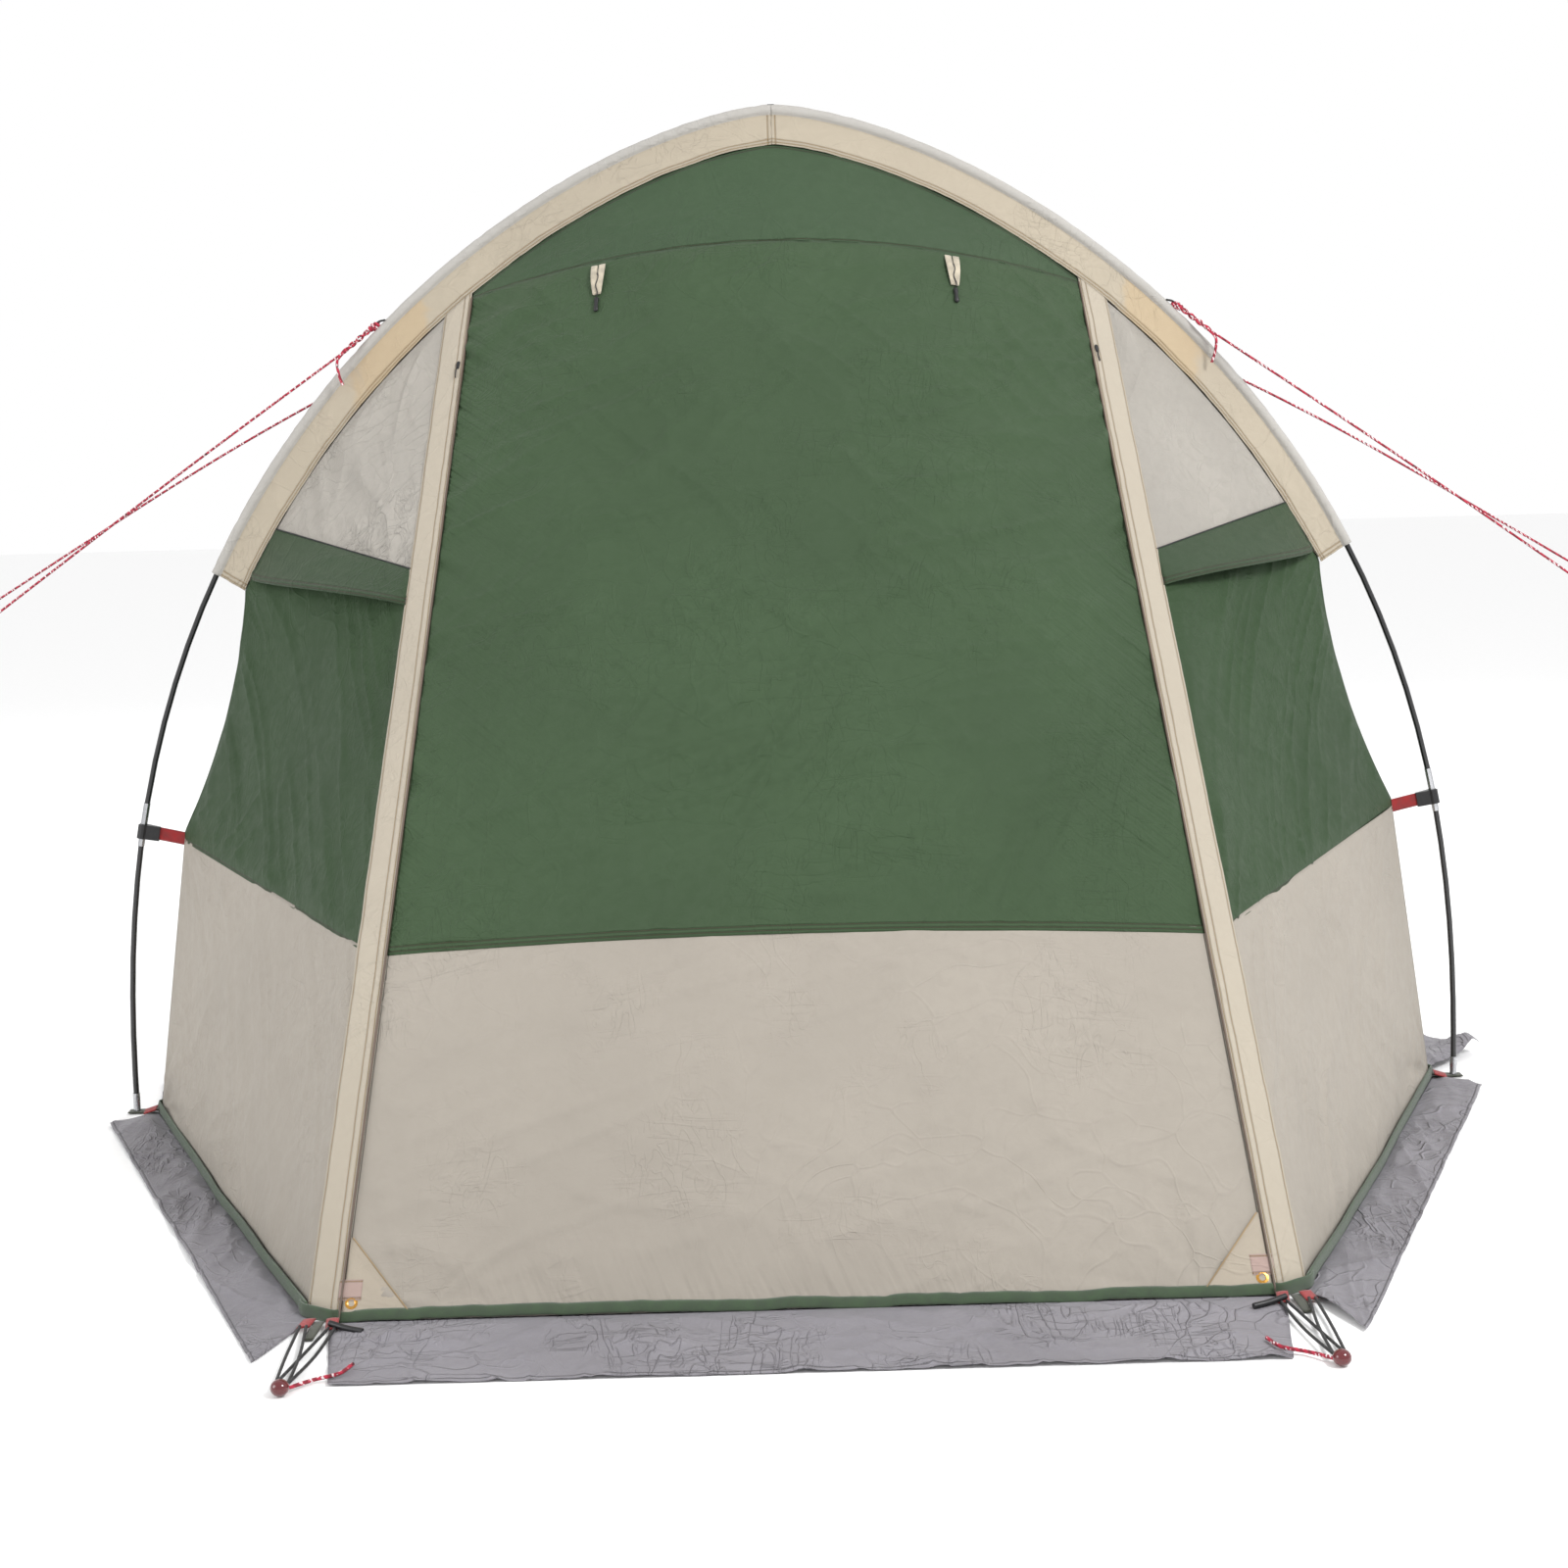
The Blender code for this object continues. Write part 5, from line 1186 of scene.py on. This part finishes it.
def toggles(m):
    for side, tag in SIDES:
        u = side * LOOP_X / STRIP_TOP_X
        run = TOP_SEAM - 0.010
        top = end_wall(u, run)
        down = unit(end_wall(u, run - 0.05) - top)
        over = unit(end_wall(u + 0.01, run) - end_wall(u - 0.01, run))
        out = np.cross(down, over)
        out = out if out[1] < 0 else -out
        lift = out * 0.0042
        for part, offset, lean in (("a", -0.0075, 1.0), ("b", 0.0075, -1.0)):
            t = np.linspace(0, 1, 16)[:, None]
            path = top + lift + over * offset + down * 0.066 * t + over * (lean * 0.0062) * t ** 2
            path = path + out * 0.003 * np.sin(np.pi * t)
            fix(ribbon(f"loop_tape_{part}_{tag}", path, over, 0.0125, m["cream_tape"], 0.0016, 5, 0.0004,
                       out), f"loop_{tag}", [f"toggle_loop_{tag}"] if part == "a" else ())
        centre = middle_of(f"toggle_{tag}")
        rings = []
        for t, r in ((0, 0.2), (0.03, 0.7), (0.12, 1.0), (0.3, 0.92), (0.5, 0.74), (0.7, 0.92), (0.9, 1.0),
                     (0.98, 0.7), (1, 0.2)):
            rings.append(ring(centre + down * (t - 0.5) * 0.032, over * 0.0044 * r, out * 0.00352 * r, 16))
        fix(lathe(f"toggle_bar_{tag}", rings, m["black"]), f"toggle_{tag}", [f"toggle_{tag}"])
        t = np.linspace(0, 1, 14)[:, None]
        cord = top + lift + down * (0.020 + 0.052 * t) + over * 0.002 * np.sin(9 * t) + out * 0.003
        strand(f"toggle_cord_{tag}", cord, 0.0011, m["black_cord"], f"loop_{tag}")


def ring(centre, across, out, count):
    """Points of an oval about a centre."""
    return [centre + across * math.cos(a) + out * math.sin(a)
            for a in np.linspace(0, 2 * math.pi, count + 1)[:-1]]


def lathe(name, rings, material):
    """A closed skin over rings of equal count."""
    count = len(rings[0])
    points = [p for ring in rings for p in ring]
    faces = []
    for i in range(len(rings) - 1):
        for j in range(count):
            k = (j + 1) % count
            faces.append((i * count + j, i * count + k, (i + 1) * count + k, (i + 1) * count + j))
    faces.append(tuple(range(count)))
    faces.append(tuple((len(rings) - 1) * count + j for j in range(count)))
    return mesh_piece(name, points, faces, material)


def zip_pulls(m):
    for side, tag in SIDES:
        line = flip(STRIP_LINE, side)
        out = forwards(np.cross(line, flip(STRIP_ACROSS, side)))
        over = np.cross(out, line)
        body = middle_of(f"zip_slider_{tag}") + line * 0.011
        rings = []
        for t, w in ((-1, 0.55), (-0.8, 0.8), (0, 1.0), (0.7, 1.0), (1, 0.7)):
            rings.append(ring(body + line * t * 0.008, over * 0.004 * w, out * 0.0022 * w, 12))
        fix(lathe(f"zip_body_{tag}", rings, m["black"]), f"slider_{tag}", [f"zip_slider_{tag}"])
        t = np.linspace(0, 1, 12)[:, None]
        pull = body + out * 0.0026 - line * (0.004 + 0.026 * t) + over * 0.0012 * np.sin(3 * t)
        strand(f"zip_pull_{tag}", pull, 0.0012, m["black_cord"], f"slider_{tag}")


def peg_loops(m):
    """Peg heads with the black elastic, red tabs and cord end that gather at each front corner."""
    for side, tag in SIDES:
        head = flip(PEG, side)
        rings = []
        for k in range(11):
            a = math.pi * (0.02 + 0.96 * k / 10)
            r = 0.0132 * math.sin(a) if k < 10 else 0.004
            z = 0.0127 + 0.0118 * math.cos(a)
            rings.append(ring(np.array([head[0], head[1], z]), np.array([r, 0, 0]), np.array([0, r, 0]), 24))
        fix(lathe(f"peg_knob_{tag}", rings, m["red_knob"]), "tent", [f"peg_head_{tag}"])
        corner = np.array([HALF_WIDTH + 0.016, -DEPTH - 0.012, 0.012])
        goal = np.array([PEG[0], PEG[1], 0.013])
        for n, (x, y) in enumerate(((-0.014, -0.034), (0.020, -0.024))):
            t = np.linspace(0, 1, 10)[:, None]
            tab = corner + np.array([x, 0.004, 0]) + np.array([x * 0.3, y, -0.004]) * t
            fix(ribbon(f"peg_tab_{n}_{tag}", flip(tab, side), (1, 0.2, 0), 0.019, m["red"], 0.0022, 6,
                            0.0010, (0, -0.2, 1)), "tent")
            for k, spread in enumerate((-0.006, 0.006)):
                start = corner + np.array([x * 1.3 + spread * 0.8, y + 0.006, -0.003])
                away = goal + np.array([spread * 1.4, 0.010, 0.0])
                middle = (start + away) / 2 + np.array([spread * 0.5, 0.0, -0.003])
                loop = smooth_route([start, middle, away, goal + [spread, -0.008, 0.0]], 30)
                loop[:, 2] = np.maximum(loop[:, 2], 0.0062)
                strand(f"peg_elastic_{n}_{k}_{tag}", flip(loop, side), 0.0024, m["black_cord"])
        t = np.linspace(0, 1, 12)[:, None]
        strap = corner + [0.006, 0.002, -0.004] + np.array([0.006, -0.062, -0.004]) * t
        fix(ribbon(f"peg_webbing_{tag}", flip(strap, side), (1, 0.1, 0), 0.016, m["olive"], 0.0018, 6, 0.0006,
                        (0, 0, 1)), "tent")
        tail = smooth_route([corner + [-0.014, -0.022, 0.002], corner + [-0.040, -0.036, -0.001],
                             corner + [-0.066, -0.046, -0.003]], 16)
        strand(f"peg_cord_end_{tag}", flip(tail, side), 0.0046, m["black"])
        tail = smooth_route([goal + [-0.008, 0.006, -0.004], goal + [-0.040, 0.040, -0.006],
                             goal + [-0.072, 0.052, -0.003], goal + [-0.086, 0.084, -0.002]], 26)
        tail[:, 2] = np.maximum(tail[:, 2], 0.0062)
        strand(f"peg_rope_tail_{tag}", flip(tail, side), 0.0028, m["rope"])


def twisted(start, end, turns, radius, side_way):
    """Two strands wound about the line from start to end."""
    start, end = np.asarray(start, float), np.asarray(end, float)
    over = unit(np.cross(end - start, side_way))
    t = np.linspace(0, 1, 44)[:, None]
    turn = 2 * math.pi * turns * t
    swell = radius * (0.45 + 0.55 * np.sin(np.pi * t))
    return [start + (end - start) * t + swell * (np.cos(turn + a) * over + np.sin(turn + a) * side_way)
            for a in (0.0, math.pi)]


def guy_start(route):
    """Where a guy rope begins, and its direction there."""
    points = smooth_route(GUY_ANCHOR + np.array(route), ROPE_POINTS)
    return points[0], unit(points[2] - points[0])


def rope_knots(m):
    """Each guy's knot: a black loop on the sleeve, the rope's doubled strands and its short tail."""
    depth = np.array([0.0, 1.0, 0.0])
    for side, tag in SIDES:
        start, along = guy_start(FRONT_GUY_ROUTE)
        foot = beside_hoop(HALF_LENGTH * GUY_SHARE, SLEEVE_RADIUS + 0.0015, 0.0)
        for n, dy in enumerate((-0.004, 0.004)):
            loop = smooth_route([foot + [-0.010, dy * 1.6, 0.007], foot + [0.002, dy, 0.0045],
                                 foot + [0.010, dy * 0.4, -0.002]], 14)
            strand(f"knot_loop_{n}_{tag}", flip(loop, side), 0.0016, m["black_cord"])
        knot = foot + [0.012, 0.0, -0.004]
        for n, line in enumerate(twisted(foot + [0.002, 0, 0], knot + along * 0.010, 1.6, 0.0052, depth)):
            strand(f"knot_turns_{n}_{tag}", flip(line, side), 0.0030, m["rope"])
        for n, line in enumerate(twisted(knot, start + along * 0.034, 2.2, 0.0034, depth)):
            strand(f"knot_doubled_{n}_{tag}", flip(line, side), ROPE_RADIUS, m["rope"])
        end = start + along * 0.034
        tail = smooth_route([end - along * 0.006, end + along * 0.010 + [0, -0.004, -0.008],
                             end + along * 0.013 + [-0.004, -0.006, -0.030],
                             end + along * 0.012 + [-0.010, -0.006, -0.052]], 24)
        strand(f"knot_tail_{tag}", flip(tail, side), 0.0026, m["rope"])
        start, along = guy_start(REAR_GUY_ROUTE)
        for n, line in enumerate(twisted(start - along * 0.012, start + along * 0.040, 2.5, 0.0042, depth)):
            strand(f"knot_rear_{n}_{tag}", flip(line, side), ROPE_RADIUS, m["rope"])


def apex_tab(m):
    """The small black end of the seam at the very top."""
    top = beside_hoop(HALF_LENGTH, SLEEVE_RADIUS + 0.0005, 0.0)
    t = np.linspace(0, 1, 8)[:, None]
    path = top + np.array([-0.006, -0.002, -0.001]) + np.array([0.012, 0.0, 0.0]) * t
    fix(ribbon("apex_tab", path, (0, 1, 0), 0.008, m["black_tape"], 0.0012, 5, 0.0003, (0, 0, 1)), "tent")


# ---- stage ---------------------------------------------------------------------------------------------


def studio():
    floor = bpy.data.meshes.new("floor")
    size = 30.0
    floor.from_pydata([(-size, -size, 0), (size, -size, 0), (size, size, 0), (-size, size, 0)], [],
                      [(0, 1, 2, 3)])
    g = Graph("floor_paper")
    place = g.add("TexCoord").outputs["Object"]
    grain = g.noise(place, 30.0, 3.0)
    g.set(Base_Color=g.mix(grain, srgb("#f6f6f6"), srgb("#fbfbfb")), Roughness=0.9, Specular_IOR_Level=0.1)
    link("floor", floor, g.material)
    bpy.context.scene.view_settings.view_transform = "Standard"
    world = bpy.data.worlds.new("studio")
    bpy.context.scene.world = world
    world.use_nodes = True
    world.node_tree.nodes["Background"].inputs[0].default_value = (1.0, 1.0, 1.0, 1.0)
    world.node_tree.nodes["Background"].inputs[1].default_value = 1.0
    for name, place, target, size, power in (
        ("key", (3.3, -3.4, 4.5), (0.0, -0.4, 0.8), 1.4, 240.0),
        ("fill", (-4.6, -2.6, 2.2), (0.0, -0.3, 0.6), 2.4, 80.0),
        ("back", (0.5, 4.8, 4.2), (0.0, 0.3, 0.8), 3.0, 90.0),
    ):
        light = bpy.data.lights.new(name, "AREA")
        light.size = size
        light.energy = power
        obj = bpy.data.objects.new(name, light)
        bpy.context.scene.collection.objects.link(obj)
        aim = Vector(target) - Vector(place)
        obj.matrix_world = Matrix.Translation(place) @ aim.to_track_quat("-Z", "Y").to_matrix().to_4x4()


def main():
    place_camera()
    m = make_materials()
    guy_ropes(m)
    front_wall(m)
    strips(m)
    side_walls(m)
    corner_tapes(m)
    seam_gussets(m)
    rear_wall(m)
    sleeves(m)
    skirts(m)
    carried_over(m)
    side_straps(m)
    toggles(m)
    zip_pulls(m)
    peg_loops(m)
    rope_knots(m)
    apex_tab(m)
    declare_cloths()
    studio()


main()
